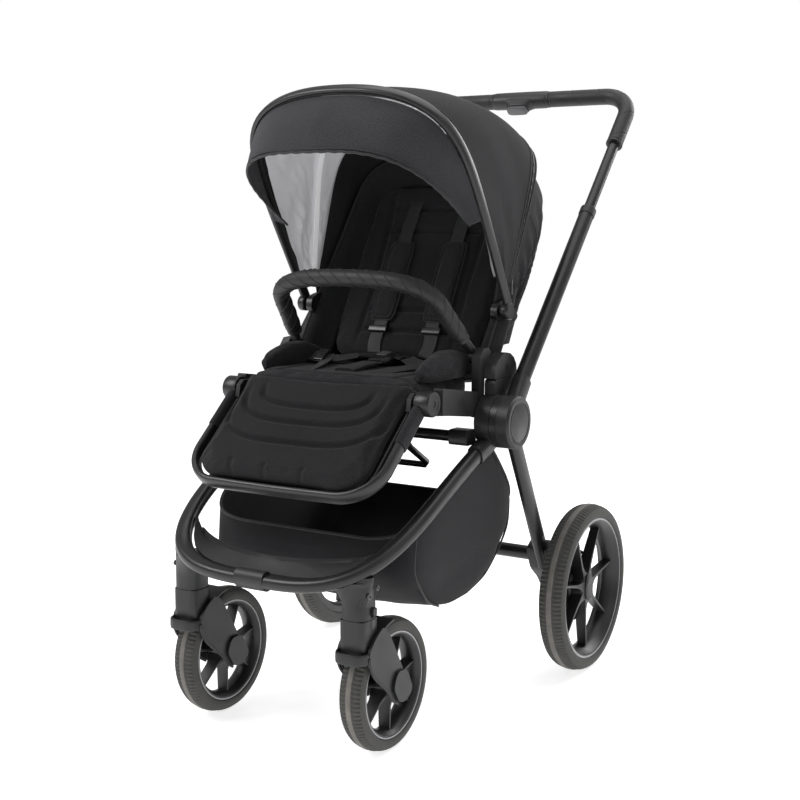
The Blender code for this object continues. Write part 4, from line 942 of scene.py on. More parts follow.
def arch(reach, foot_half, top_half, spread=0.876, lift=0.2725):
    """Closely spaced (reach, x) pairs of one canopy section, left foot to right foot."""
    left = []
    for k in range(121):
        t = pi / 2 * (k / 120) ** 4
        rise = sin(t) ** lift
        half = foot_half + (top_half - foot_half) * rise
        left.append((reach * rise, half * max(cos(t), 0.0) ** spread))
    left[-1] = (reach, 0.0)
    return left + [(r, -x) for r, x in reversed(left[:-1])]


def resample2(pairs, count):
    """Pairs of numbers in count equal steps."""
    return [(p.x, p.y) for p in resample([Vector((a, b, 0.0)) for a, b in pairs], count)]


def blend_rows(table, steps):
    """Smooth rows between the rows of a table of numbers."""
    rows = [list(r) for r in table]
    ends = [[2 * a - b for a, b in zip(rows[0], rows[1])]] + rows
    ends += [[2 * a - b for a, b in zip(rows[-1], rows[-2])]]
    return between(ends, steps) + [rows[-1]]


def between(rows, steps):
    """Rows that pass smoothly from the second row to the last but one."""
    return [[smooth_step(*four, k / steps) for four in zip(*group)]
            for group in zip(rows, rows[1:], rows[2:], rows[3:]) for k in range(steps)]


RIGID = {
    "cross_brace": FRAME_BLACK, "footboard": BOARD, "axle_beam": FRAME_BLACK, "brake_pedal": PLASTIC,
    "seat_frame": PLASTIC, "under_seat_loop": FRAME_BLACK, "backrest_frame": FRAME_BLACK,
}
RIGID_PAIRS = {
    "hub_plate": PLASTIC, "caster_housing": PLASTIC, "swivel_lock": PLASTIC, "rear_leg": FRAME_BLACK,
    "axle_bracket": PLASTIC, "handle_joint": PLASTIC, "lower_handle_tube": FRAME_BLACK,
    "handle_collar": PLASTIC, "seat_mount": PLASTIC,
}


def rigid_parts():
    """The plain parts, which keep the CAD's own shape."""
    for node, mat in RIGID.items():
        refined(node, mat)
    for stem, mat in RIGID_PAIRS.items():
        for word, _ in SIDES:
            refined(f"{stem}_{word}", mat)


# ---------------------------------------------------------------- soft goods

def ripple(obj, shift):
    """Move each vertex along its normal by shift(position, cloth uv)."""
    mesh = obj.data
    uv = {}
    if mesh.uv_layers:
        for loop, entry in zip(mesh.loops, mesh.uv_layers[0].data):
            uv[loop.vertex_index] = tuple(entry.uv)
    normals = [v.normal.copy() for v in mesh.vertices]
    for vertex, normal in zip(mesh.vertices, normals):
        vertex.co += normal * shift(vertex.co.copy(), uv.get(vertex.index, (0.0, 0.0)))
    mesh.update()
    return obj


def face_outward(obj, center):
    """Turn a sheet so that its normals point away from a point."""
    mesh = obj.data
    away = sum((p.normal.dot(p.center - Vector(center)) for p in mesh.polygons))
    if away < 0:
        mesh.flip_normals()
    return obj


def folds(u, v, across, along, seed):
    """Soft cloth folds: noise stretched along one cloth direction."""
    return noise.noise(Vector((u * across, v * along, seed)))


def sheet_size(rows):
    """Flat width and length of a sheet, measured along the cloth."""
    return (max(lengths(row)[-1] for row in rows), lengths([row[len(row) // 2] for row in rows])[-1])


def declare_sheet(rows):
    """Measure a sheet's flat size; the result is not kept."""
    size = sheet_size(rows)


def piping(name, line, radius, body, mat, closed=False):
    """Thin corded edge that follows a line of points."""
    obj = tube(name, line, ellipse(2 * radius, 2 * radius, 10), closed=closed)
    return finish(obj, body, mat, 60.0)


def tape(name, line, normals, width, thick, body, mat):
    """Flat band along a line, lying across the given surface normals."""
    points = [Vector(p) for p in line]
    rows = []
    for i, (point, normal) in enumerate(zip(points, normals)):
        ahead = (points[min(i + 1, len(points) - 1)] - points[max(i - 1, 0)]).normalized()
        side = ahead.cross(Vector(normal)).normalized()
        rows.append([point + side * width * t for t in (-0.5, -0.46, -0.25, 0.0, 0.25, 0.46, 0.5)])
    obj = surface(name, rows)
    solidify(obj, thick, 0.0)
    return finish(obj, body, mat, 60.0)


# Canopy sections from the bow back: degrees, reach, half width, behind, spread, lift, lowest reach.
HOOD_TABLE = (
    (BOW_DEGREES, 0.402, 0.2072, 0.002, 0.876, 0.2725, 0.034),
    (72.0, 0.38, 0.2055, 0.009, 0.84, 0.245, 0.038),
    (87.0, 0.362, 0.205, 0.003, 0.78, 0.215, 0.042),
    (102.0, 0.348, 0.204, 0.0, 0.74, 0.19, 0.042),
    (116.0, 0.336, 0.203, 0.0, 0.7, 0.18, 0.044),
)
HOOD_CLOTH = ("backrest", "canopy", hood(148.2, 0.284, 0.0), hood(148.2, 0.003, 0.0))


def hood_row(row, inset=0.0, count=110, lowest=None):
    """One line of the canopy from its left foot over the top to its right foot."""
    degrees, reach, half, behind, spread_x, lift, low = row
    kept = [p for p in arch(reach - inset, half - 0.005 - inset, half - inset, spread_x, lift)
            if p[0] >= (lowest or low)]
    return [hood(degrees, r, x, behind) for r, x in resample2(kept, count)]


def canopy():
    """Outer canopy sheet with its seams and zip, its silver lining, and the soft peak."""
    hinge = Vector((0.0, HOOD.y, HOOD.z))
    table = blend_rows(HOOD_TABLE, 12)
    rows = [hood_row(row) for row in table]
    cover = surface("canopy_cover", rows)
    face_outward(cover, hinge)
    depth = sheet_size(rows)[1]

    def sag(_, at):
        u, v = at
        t = v / depth
        slack = sin(pi * clamp(t))
        pull = folds(u + 0.55 * v, v - 0.4 * abs(u), 9.0, 3.0, 2.0) * 0.0045
        fine = folds(u, v, 30.0, 12.0, 7.0) * 0.0008
        return slack * (pull + fine - 0.0015)

    ripple(cover, sag)
    solidify(cover, CLOTH_THICK)
    finish(cover, HOOD_CLOTH, CANOPY, 60.0)
    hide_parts("canopy_shell")
    declare_sheet(rows)

    seam = [p + (p - hinge).normalized() * 0.0002 for p in rows[4]]
    piping("canopy_front_seam", seam, 0.0011, HOOD_CLOTH, THREAD)
    edge = [hood(BOW_DEGREES, r, x, 0.003) for r, x in resample2(arch(0.402, 0.2062, 0.2105)[40:-40], 90)]
    piping("canopy_bow_piping", edge, 0.0016, "canopy", BINDING)
    piping("canopy_rear_binding", rows[-1], 0.0018, HOOD_CLOTH, BINDING)
    piping("canopy_zip_seam", rows[-5], 0.001, HOOD_CLOTH, THREAD)
    teeth = rows[-3]
    zip_line = tube("canopy_zip_teeth", resample(teeth, 240), ellipse(0.0042, 0.0024, 10))
    ripple(zip_line, lambda _, at: 0.0004 * sin(at[1] * 2 * pi / 0.003))
    finish(zip_line, HOOD_CLOTH, GLOSS, 60.0)

    drop = teeth[1]
    pull = [drop + Vector((0.002, 0.001, -z)) for z in (0.0, 0.006, 0.012, 0.018, 0.024)]
    tape("zip_pull_tape", pull, [Vector((1.0, 0.2, 0.0))] * 5, 0.005, 0.0012, HOOD_CLOTH, WEBBING)
    fine = blend_rows(HOOD_TABLE, 10)
    silver_rows = [hood_row(row, 0.0085, 90, 0.06) for row in fine[2:39]]
    lining = surface("canopy_lining", silver_rows)
    face_outward(lining, hinge)
    inner_depth = sheet_size(silver_rows)[1]

    def crease(_, at):
        u, v = at
        edge = sin(pi * min(max(v / inner_depth, 0.02), 0.98)) ** 0.5
        crumple = folds(u + 0.8 * v, v - 0.6 * u, 26.0, 9.0, 4.0)
        crumple += 0.6 * folds(u - 0.9 * v, v + 0.5 * u, 34.0, 14.0, 9.0)
        quilt = sum((1 - abs(sin(pi * line / 0.085))) ** 5 for line in (u + v, u - v))
        return edge * min(crumple * 0.01 - 0.002 * quilt, 0.0024)

    ripple(lining, crease)
    finish(lining, HOOD_CLOTH, SILVER, 70.0)
    declare_sheet(silver_rows)
    band = hood_row(fine[26], 0.0125, 90, 0.06)
    tape("lining_seam_tape", band, [p - hinge for p in band], 0.013, 0.0006, HOOD_CLOTH, TAPE)
    peak()


def visor_edge(count):
    """The peak's free edge, left foot to right foot."""
    left = []
    for k in range(61):
        t = pi / 2 * (k / 60) ** 2
        rise = sin(t) ** 0.62
        left.append(Vector((0.179 * max(cos(t), 0.0) ** 0.6, -0.106 - 0.192 * rise, 0.796 + 0.11 * rise)))
    left[-1].x = 0.0
    return resample(mirrored(left), count)


def peak():
    """Soft peak between the bow and its own free, doubly piped edge."""
    count, steps = 110, 16
    upper = [p for p in arch(0.4015, 0.202, 0.2065) if p[0] >= 0.172]
    top = [hood(BOW_DEGREES, r, x, -0.003) for r, x in resample2(upper, count)]
    edge = visor_edge(count)
    rows = []
    for t in (i / steps for i in range(steps + 1)):
        row = []
        for a, b in zip(top, edge):
            p = a.lerp(b, t)
            bulge = (1.0 - min(abs(a.x) / 0.21, 1.0)) * 4 * t * (1 - t)
            row.append(p + Vector((0.0, -0.0085, 0.0065)) * bulge)
        rows.append(row)
    obj = surface("canopy_peak", rows)
    face_outward(obj, (0.0, HOOD.y, HOOD.z))
    ripple(obj, lambda _, at: 0.0016 * folds(at[0], at[1], 14.0, 22.0, 5.0))
    solidify(obj, 0.0026)
    finish(obj, "canopy", VISOR, 60.0)
    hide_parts("canopy_visor")
    declare_sheet(rows)
    wavy = [p + Vector((0, 0, 0.0006 * sin(k * 1.7))) for k, p in enumerate(edge)]
    piping("peak_edge_outer", wavy, 0.0019, "canopy", BINDING)
    inner = [a.lerp(b, 0.955) + Vector((0.0, -0.0014, 0.0012)) for a, b in zip(top, edge)]
    piping("peak_edge_seam", inner, 0.001, "canopy", BINDING)


# Sections of the seat's back, top to bottom: foot y and z, then the y and z of its rearmost point.
BACK_TABLE = (
    (0.0, 0.69, 0.117, 0.95),
    (0.003, 0.68, 0.164, 0.924),
    (0.006, 0.67, 0.2, 0.888),
    (0.006, 0.66, 0.196, 0.848),
    (0.0, 0.648, 0.154, 0.778),
    (-0.006, 0.632, 0.104, 0.702),
    (-0.014, 0.616, 0.064, 0.642),
    (-0.022, 0.6, 0.038, 0.6),
)


def back_row(row, inset=0.0, count=90, half=0.1952):
    """Squarish U from one side foot round the back to the other."""
    foot_y, foot_z, apex_y, apex_z = row
    left = []
    for k in range(81):
        t = pi / 2 * (k / 80) ** 3
        rise = sin(t) ** 0.32
        x = (half - inset) * max(cos(t), 0.0) ** 0.6
        y = foot_y + (apex_y - inset - foot_y) * rise
        left.append(Vector((x, y, foot_z + (apex_z - foot_z) * rise)))
    left[-1].x = 0.0
    return resample(mirrored(left), count)


def seat_back():
    """Fabric back with its bulged pocket, the dark lining inside it and its bridge to the canopy."""
    inside = (0.0, 0.02, 0.78)
    table = blend_rows(BACK_TABLE, 7)
    rows = [back_row(row) for row in table]
    cover = surface("seat_back_cover", rows)
    face_outward(cover, inside)
    tall = sheet_size(rows)[1]

    def gather(_, at):
        u, v = at
        t = v / tall
        pocket = clamp((t - 0.1) / 0.12) * clamp((0.8 - t) / 0.15)
        pleat = 0.002 * sin(u * 2 * pi / 0.04 + 1.4 * folds(u, v, 8.0, 6.0, 1.0)) * pocket
        soft = 0.004 * folds(u, v, 10.0, 7.0, 3.0) * sin(pi * clamp(t))
        return pleat * min(abs(u) / 0.1, 1.0) + soft

    ripple(cover, gather)
    solidify(cover, 0.0018)
    finish(cover, "backrest", CANOPY, 60.0)
    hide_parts("backrest_shell")
    declare_sheet(rows)
    lining_rows = [back_row(row, 0.0065, 80) for row in table[2:-2]]
    lining = surface("seat_back_lining", lining_rows)
    face_outward(lining, inside)
    ripple(lining, lambda _, at: min(0.003 * folds(at[0], at[1], 12.0, 9.0, 6.0), 0.002))
    finish(lining, "backrest", LINING, 60.0)
    declare_sheet(lining_rows)
    front = hood_row(blend_rows(HOOD_TABLE, 10)[34], 0.015, 90, 0.05)
    rear = back_row(table[3], 0.0075, 91)
    crown = Vector((0.0, 0.0, 0.01))
    bridge_rows = [[a.lerp(b, t) + crown * sin(pi * t) * (1 - abs(a.x) / 0.21) for a, b in zip(front, rear)]
                   for t in (k / 16 for k in range(17))]
    bridge = surface("canopy_rear_lining", bridge_rows)
    face_outward(bridge, inside)
    finish(bridge, "backrest", LINING, 60.0)
    declare_sheet(bridge_rows)
    for name, index in (("top", 1), ("pocket", 22), ("low", 40)):
        piping(f"seat_back_{name}_piping", rows[index], 0.0016, "backrest", BINDING)
    for word, side in SIDES:
        edge = [row[2 if side > 0 else -3] for row in rows]
        piping(f"seat_back_edge_{word}", edge, 0.0018, "backrest", BINDING)
        fold_line = [row[16 if side > 0 else -17] for row in rows[6:44]]
        piping(f"seat_back_pocket_edge_{word}", fold_line, 0.0014, "backrest", BINDING)


def swell(obj, pressure, cap):
    """Let a closed pad swell as stuffed cloth, no point moving further than the cap."""
    start = [v.co.copy() for v in obj.data.vertices]
    step = obj.modifiers.new("cloth", "CLOTH")
    step.settings.use_pressure = True
    step.settings.uniform_pressure_force = pressure
    step.settings.effector_weights.gravity = 0.0
    step.point_cache.frame_start = 1
    step.point_cache.frame_end = SWELL_FRAMES
    scene = bpy.context.scene
    for number in range(1, SWELL_FRAMES + 1):
        scene.frame_set(number)
    graph = bpy.context.evaluated_depsgraph_get()
    moved = [v.co.copy() for v in obj.evaluated_get(graph).data.vertices]
    obj.modifiers.remove(step)
    for vertex, old, new in zip(obj.data.vertices, start, moved):
        way = new - old
        vertex.co = old + way * min(1.0, cap / max(way.length, 1e-9))
    scene.frame_set(1)
    obj.data.update()
    return obj


def even(obj, voxel):
    """Remesh a closed shape into cells of one size."""
    step = obj.modifiers.new("even", "REMESH")
    step.mode = "VOXEL"
    step.voxel_size = voxel
    return apply_modifiers(obj)


def stuff(obj, pressure, cap):
    """Swell a pad, then round it off."""
    subdivide(swell(obj, pressure, cap))
    return apply_modifiers(obj)


def pad_block(name, place, outline, layers, voxel):
    """Closed pad from a plan outline (u, s) repeated at (lift, shrink) layers, then remeshed evenly."""
    cu = sum(p[0] for p in outline) / len(outline)
    cs = sum(p[1] for p in outline) / len(outline)
    n = len(outline)
    verts = []
    for lift, shrink in layers:
        verts += [place(cs + (s - cs) * shrink, cu + (u - cu) * shrink, lift) for u, s in outline]
    obj = mesh_object(name, verts, end_caps(len(layers), n) + ring_faces(len(layers), n))
    even(obj, voxel)
    smooth = obj.modifiers.new("relax", "SMOOTH")
    smooth.factor = 0.5
    smooth.iterations = 3
    return apply_modifiers(obj)


def superellipse(half_u, half_s, square, count, center):
    """Plan outline round a centre, squarer as its third value grows."""
    return [(center[0] + u, center[1] + s) for u, s in ellipse(2 * half_u, 2 * half_s, count, square)]


def nearest(point, line):
    """Distance from a plan point to a polyline, and how far along it the foot lies (0 to 1)."""
    best, where = 1e9, 0.0
    for i, (a, b) in enumerate(zip(line, line[1:])):
        ax, ay = a
        dx, dy = b[0] - ax, b[1] - ay
        size = dx * dx + dy * dy
        t = 0.0 if size == 0 else clamp(((point[0] - ax) * dx + (point[1] - ay) * dy) / size)
        d = hypot(point[0] - ax - t * dx, point[1] - ay - t * dy)
        if d < best:
            best, where = d, (i + t) / (len(line) - 1)
    return best, where


def sew(obj, plan, normal, lines, width, depth):
    """Press sewn channels into the face of a pad; plan maps a point to its (u, s)."""
    up = Vector(normal)
    # The normals are all read before the first point moves, since each move makes them stale.
    facing = [v for v in obj.data.vertices if v.normal.dot(up) > 0.25]
    for vertex in facing:
        spot = plan(vertex.co)
        press = 0.0
        for line in lines:
            d, along = nearest(spot, line)
            if d < width:
                fade = min(1.0, 8.0 * along, 8.0 * (1.0 - along)) if len(line) > 2 else 1.0
                press = max(press, fade * (1 - (d / width) ** 2) ** 2)
        vertex.co -= up * depth * press
    obj.data.update()


def back_plan(co):
    """Across and up the backrest."""
    along = (co.y - RECLINE.y) * cos(BACK_ANGLE) + (co.z - RECLINE.z) * sin(BACK_ANGLE)
    return (co.x, along)


def leg_plan(co):
    """Across and down the footrest."""
    return (co.x, -(co.y - FOOT.y) * cos(FOOT_ANGLE) - (co.z - FOOT.z) * sin(FOOT_ANGLE))


BACK_NORMAL = (0.0, -sin(BACK_ANGLE), cos(BACK_ANGLE))
LEG_NORMAL = (0.0, -sin(FOOT_ANGLE), cos(FOOT_ANGLE))


def u_line(half, reach, square, top=-0.006):
    """U-shaped channel open towards the seat."""
    turns = [pi * k / 40 for k in range(41)]
    return [(half * power(cos(a), square), top + (reach - top) * sin(a) ** (2 / square)) for a in turns]


def pad_outline(half, top, low, round_top, round_low, count=12):
    """Plan of a pad with tight corners at the top and wide ones at the lower end."""
    points = []
    corners = ((half - round_low, low - round_low, round_low, 0),
               (-half + round_low, low - round_low, round_low, 1),
               (-half + round_top, top + round_top, round_top, 2),
               (half - round_top, top + round_top, round_top, 3))
    for u, s, r, quarter in corners:
        for k in range(count + 1):
            a = pi / 2 * (quarter + k / count)
            points.append((u + r * cos(a), s + r * sin(a)))
    return points


def leg_pad():
    """Leg cushion in the footrest bow, with three nested channels, carried up over the seat edge."""
    outline = pad_outline(0.161, -0.023, 0.1915, 0.01, 0.052)
    fine = []
    for (u, s), (v, t) in zip(outline, outline[1:] + outline[:1]):
        steps = max(1, int(hypot(v - u, t - s) / 0.008))
        fine += [(u + (v - u) * k / steps, s + (t - s) * k / steps) for k in range(steps)]
    layers = ((-0.004, 0.955), (0.002, 0.995), (0.012, 1.0), (0.019, 0.965))
    pad = pad_block("leg_pad", leg, fine, layers, PAD_CELL)
    stuff(pad, 3.5, 0.006)
    channels = [u_line(0.105, 0.047, 3.4), u_line(0.131, 0.08, 3.6), u_line(0.152, 0.121, 3.8)]
    sew(pad, leg_plan, LEG_NORMAL, channels, 0.0085, 0.006)
    pucker = [[(-0.02, 0.168), (-0.016, 0.19)], [(0.052, 0.168), (0.05, 0.19)],
              [(-0.085, 0.165), (-0.078, 0.184)]]
    sew(pad, leg_plan, LEG_NORMAL, pucker, 0.007, 0.0026)
    hinge = ("chassis", "footrest", leg(-0.022, 0.0), leg(0.034, 0.0))
    finish(pad, hinge, LEGREST, 60.0)
    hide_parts("footrest_pad")
    rows = []
    for t in (k / 20 for k in range(21)):
        half = 0.1745 - 0.075 * max(0.0, t - 0.62) ** 1.6 * 4.4
        drop = 0.004 * sin(pi * t)
        rows.append([leg(0.01 + 0.186 * t, half * (j / 15 - 1.0), -0.0065 - drop * sin(pi * j / 30))
                     for j in range(31)])
    under = surface("footrest_under_sheet", rows)
    solidify(under, CLOTH_THICK, 0.0)
    finish(under, "footrest", LINING, 60.0)
    declare_sheet(rows)
    edge = [leg(s, u, 0.003) for u, s in pad_outline(0.163, -0.02, 0.1935, 0.012, 0.054)]
    piping("leg_pad_piping", edge, 0.0017, hinge, BINDING, True)
    for word, side in SIDES:
        sleeve = [leg(s, side * 0.177) for s in (0.018, 0.04, 0.062, 0.084, 0.088)]
        sizes = (0.0162, 0.016, 0.0158, 0.0156, 0.015)
        cover = tube(f"footrest_sleeve_{word}", sleeve, [ellipse(w, w + 0.0118, 28, 2.5) for w in sizes],
                     up=LEG_NORMAL)
        finish(cover, "footrest", SEAT, 50.0)


def seat_plan(co):
    """Across and back from the seat's front edge."""
    return (co.x, co.y - SEAT_FRONT_Y)


def seat_cushion():
    """Seat pad with its seams, and the cloth that closes the gap to the backrest."""
    def place(s, u, lift):
        return Vector((u, s + SEAT_FRONT_Y, 0.514 - 0.01 * s + lift))

    outline = superellipse(0.1585, 0.106, 9.0, 110, (0.0, 0.1075))
    layers = ((0.002, 0.97), (0.012, 1.0), (0.03, 1.0), (0.041, 0.965))
    pad = pad_block("seat_cushion", place, outline, layers, PAD_CELL)
    stuff(pad, 3.0, 0.006)
    lines = [[(-0.15, 0.03), (0.15, 0.03)], [(-0.118, 0.215), (-0.112, 0.034)],
             [(0.118, 0.215), (0.112, 0.034)]]
    sew(pad, seat_plan, (0, 0, 1), lines, 0.008, 0.0048)
    finish(pad, "chassis", SEAT, 60.0)
    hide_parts("seat_pad")
    rows = []
    profile = curve([(0, -0.056, 0.54), (0, -0.025, 0.534), (0, 0.008, 0.552), (0, 0.026, 0.576),
                     (0, 0.036, 0.604)], 26)
    for p in profile:
        row = []
        for k in range(61):
            t = k / 30 - 1.0
            drop = 0.003 * noise.noise(Vector((t * 4.0, p.y * 40.0, p.z * 30.0)))
            row.append(Vector((0.18 * t, p.y - 0.03 * abs(t) ** 5 + drop, p.z + 0.012 * abs(t) ** 6)))
        rows.append(row)
    gusset = surface("seat_gusset", rows)
    solidify(gusset, CLOTH_THICK, 0.0)
    between_bodies = ("chassis", "backrest", Vector((0, -0.02, 0.545)), Vector((0, 0.034, 0.6)))
    finish(gusset, between_bodies, LINING, 60.0)
    declare_sheet(rows)


def back_cushion():
    """Backrest pad with side channels and cross seams between the harness straps."""
    outline = superellipse(0.157, 0.182, 7.0, 120, (0.0, 0.185))
    layers = ((-0.038, 0.93), (-0.034, 0.97), (-0.026, 1.0), (-0.02, 0.97))
    pad = pad_block("backrest_cushion", back, outline, layers, 0.005)
    stuff(pad, 3.0, 0.005)
    lines = [[(side * u, s) for u, s in ((0.098, 0.02), (0.094, 0.15), (0.1, 0.27), (0.108, 0.35))]
             for side in (-1.0, 1.0)]
    lines += [[(-u, s), (u, s)] for u, s in ((0.092, 0.262), (0.094, 0.308), (0.09, 0.104), (0.092, 0.063))]
    sew(pad, back_plan, BACK_NORMAL, lines, 0.0085, 0.0055)
    finish(pad, "backrest", BACKREST, 60.0)
    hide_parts("backrest_pad")
    surround()


def frame_ring(steps):
    """Centre line of the backrest frame, foot to foot, as (distance up the back, x)."""
    left = [(0.012, 0.184), (0.05, 0.184), (0.1, 0.184), (0.2, 0.174), (0.325, 0.164)]
    left += [(0.325 + 0.07 * sin(pi / 2 * k / 8), 0.094 + 0.07 * cos(pi / 2 * k / 8)) for k in range(1, 9)]
    left.append((0.395, 0.0))
    whole = left + [(s, -x) for s, x in reversed(left[:-1])]
    return [(p[0], p[1]) for p in resample([(s, x, 0.0) for s, x in whole], steps)]


def surround():
    """Cloth from the cushion's edge over the backrest frame on both sides and round the top."""
    line = [(-0.036, -0.03), (-0.024, -0.015), (-0.01, 0.008), (0.002, 0.0135), (0.012, 0.006),
            (0.0165, -0.006)]
    rows = []
    for s, x in frame_ring(130):
        out = Vector((max(s - SURROUND_BEND, 0.0), x, 0.0)).normalized()
        low = max(0.0, 1.0 - max(s, 0.0) / 0.1)
        row = []
        for off, lift in line:
            wrinkle = 0.003 * folds(s + x, off * 4.0, 16.0, 26.0, 3.0) * sin(pi * (off + 0.04) / 0.06)
            p = back(s + out.x * off, x + out.y * off, lift + wrinkle)
            row.append(p + Vector((0.0, -0.008 * low, 0.0)))
        rows.append(curve(row, 14))
    obj = surface("seat_surround", rows)
    solidify(obj, 0.0024, 0.0)
    finish(obj, "backrest", BACKREST, 60.0)
    declare_sheet(rows)
    edge = [row[10] + Vector(BACK_NORMAL) * 0.0015 for row in rows]
    piping("seat_surround_piping", edge, 0.0016, "backrest", BINDING)


def clip(name, path, sections, up, body, soft, mat=GLOSS):
    """Small moulded fitting of the harness."""
    obj = tube(name, path, sections, up=up)
    if soft:
        bevel(obj, soft)
    return finish(obj, body, mat, 40.0)


def harness():
    """Shoulder straps with their pads, waist straps, crotch strap and buckle."""
    for word, side in SIDES:
        middle = side * 0.054
        webbing = curve([back(s, middle + side * shift, lift) for s, shift, lift in (
            (0.335, 0.0, -0.0175), (0.3, 0.0, -0.0125), (0.232, 0.0, -0.009), (0.16, 0.0, -0.008),
            (0.084, -0.002, -0.009), (0.04, 0.002, -0.0125), (0.012, -0.004, -0.014))], 60)
        tape(f"shoulder_webbing_{word}", webbing, [BACK_NORMAL] * 61, 0.026, 0.0016, "backrest", WEBBING)
        outline = superellipse(0.0235, 0.078, 7.0, 60, (middle, 0.158))
        pad = pad_block(f"shoulder_pad_{word}", back, outline,
                        ((-0.0135, 0.96), (-0.0115, 1.0), (-0.007, 1.0), (-0.0045, 0.95)), 0.003)
        stuff(pad, 2.5, 0.003)
        inner = superellipse(0.0175, 0.0715, 7.0, 60, (middle, 0.158))
        sew(pad, back_plan, BACK_NORMAL, [inner + inner[:1]], 0.0036, 0.0016)
        finish(pad, "backrest", PAD_FABRIC, 60.0)
        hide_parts(f"shoulder_strap_{word}")
        rim = [back(s, u, -0.009) for u, s in superellipse(0.0243, 0.079, 7.0, 72, (middle, 0.158))]
        piping(f"shoulder_pad_piping_{word}", rim, 0.0013, "backrest", BINDING, True)
        clip(f"strap_keeper_{word}", [back(0.062, middle + half, -0.0085) for half in (-0.018, 0.018)],
             ellipse(0.0125, 0.0065, 20, 3.5), BACK_NORMAL, "backrest", 0.001)
        waist = curve([(side * x, y, z) for x, y, z in (
            (0.15, -0.08, 0.574), (0.12, -0.105, 0.57), (0.08, -0.1, 0.569), (0.046, -0.078, 0.5745),
            (0.024, -0.066, 0.576))], 40)
        ups = [Vector((0.0, -0.55 + 0.4 * k / 40, 0.85)) for k in range(41)]
        tape(f"waist_strap_{word}", waist, ups, 0.025, 0.0016, "chassis", WEBBING)
        loose = curve([(side * x, y, z) for x, y, z in (
            (0.118, -0.07, 0.57), (0.09, -0.12, 0.566), (0.07, -0.17, 0.563), (0.062, -0.205, 0.559))], 30)
        tape(f"loose_strap_{word}", loose, [(side * 0.3, 0.1, 1.0)] * 31, 0.022, 0.0014, "chassis", WEBBING)
        clip(f"buckle_tongue_{word}", [(side * x, y, z) for x, y, z in (
            (0.022, -0.062, 0.575), (0.036, -0.07, 0.5755), (0.05, -0.08, 0.574))],
             [ellipse(a, b, 20, 3.5) for a, b in ((0.02, 0.009), (0.024, 0.01), (0.03, 0.008))],
             (0, 0, 1), "chassis", 0.0012)
        clip(f"adjuster_{word}", [(side * 0.1, -0.102, 0.573), (side * 0.118, -0.103, 0.5735)],
             ellipse(0.032, 0.008, 20, 3.5), (0, -0.5, 0.85), "chassis", 0.0012)
    shell = clip("buckle_body", [(0.0, y, z) for y, z in (
        (-0.1, 0.566), (-0.092, 0.568), (-0.07, 0.571), (-0.048, 0.572), (-0.043, 0.572))],
                 [ellipse(a, b, 32, square) for a, b, square in (
                     (0.034, 0.01, 3.0), (0.044, 0.016, 3.2), (0.05, 0.02, 3.2), (0.048, 0.018, 3.0),
                     (0.04, 0.012, 3.0))], (0, -0.06, 1), "chassis", 0)
    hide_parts("buckle")
    clip("buckle_button", [(0.0, -0.086, 0.5765), (0.0, -0.066, 0.5805)],
         [ellipse(a, 0.006, 24, 2.4) for a in (0.02, 0.022)], (0, -0.1, 1), "chassis", 0.001, GREY)
    crotch = curve([(0.0, -0.205, 0.556), (0.0, -0.19, 0.561), (0.0, -0.15, 0.564), (0.0, -0.115, 0.5655),
                    (0.0, -0.098, 0.5665)], 30)
    tape("crotch_strap", crotch, [(0, -0.05, 1)] * 31, 0.027, 0.0018, "chassis", WEBBING)
    path = curve([(0.0, -0.196, 0.5615), (0.0, -0.16, 0.565), (0.0, -0.12, 0.5665)], 12)
    sleeve = tube("crotch_sleeve", path, ellipse(0.038, 0.0085, 28, 3.0), up=(0, 0, 1))
    finish(sleeve, "chassis", PAD_FABRIC, 50.0)


def bolsters():
    """Puckered hip cushions on both sides of the seat."""
    n = 28
    for word, side in SIDES:
        verts = []
        for t in (k / 12 for k in range(13)):
            y, z = -0.216 + 0.176 * t, 0.564 + 0.009 * sin(pi * t)
            size = sin(pi * (0.06 + 0.9 * t)) ** 0.5
            verts += [(side * 0.15 + u, y, z + v) for u, v in ellipse(0.034 * size, 0.05 * size, n, 2.4)]
        obj = mesh_object(f"hip_bolster_{word}", verts, end_caps(13, n) + ring_faces(13, n))
        even(obj, PAD_CELL)
        stuff(obj, 3.0, 0.004)
        star = Vector((side * 0.143, -0.195, 0.566))

        def pucker(co, _):
            gap = co - star
            reach = gap.length
            fade = max(0.0, 1.0 - reach / 0.06)
            ray = 0.5 + 0.5 * cos(9.0 * (gap.z * 60.0 + gap.x * 40.0) / max(reach * 60.0, 0.3))
            return -0.0026 * fade * ray + 0.0012 * folds(co.y, co.z, 30.0, 40.0, side)

        ripple(obj, pucker)
        finish(obj, "chassis", SEAT, 60.0)
        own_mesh(obj)


def rim_height(x, y):
    """Height of the basket's rim, which hangs under the frame tubes and dips across the front."""
    edge = tube_height(min(y, -0.06)) - 0.019
    if y > -0.06:
        edge -= (y + 0.06) * 1.02
    side = clamp((abs(x) - 0.12) / 0.07)
    return 0.322 * (1 - side) + edge * side


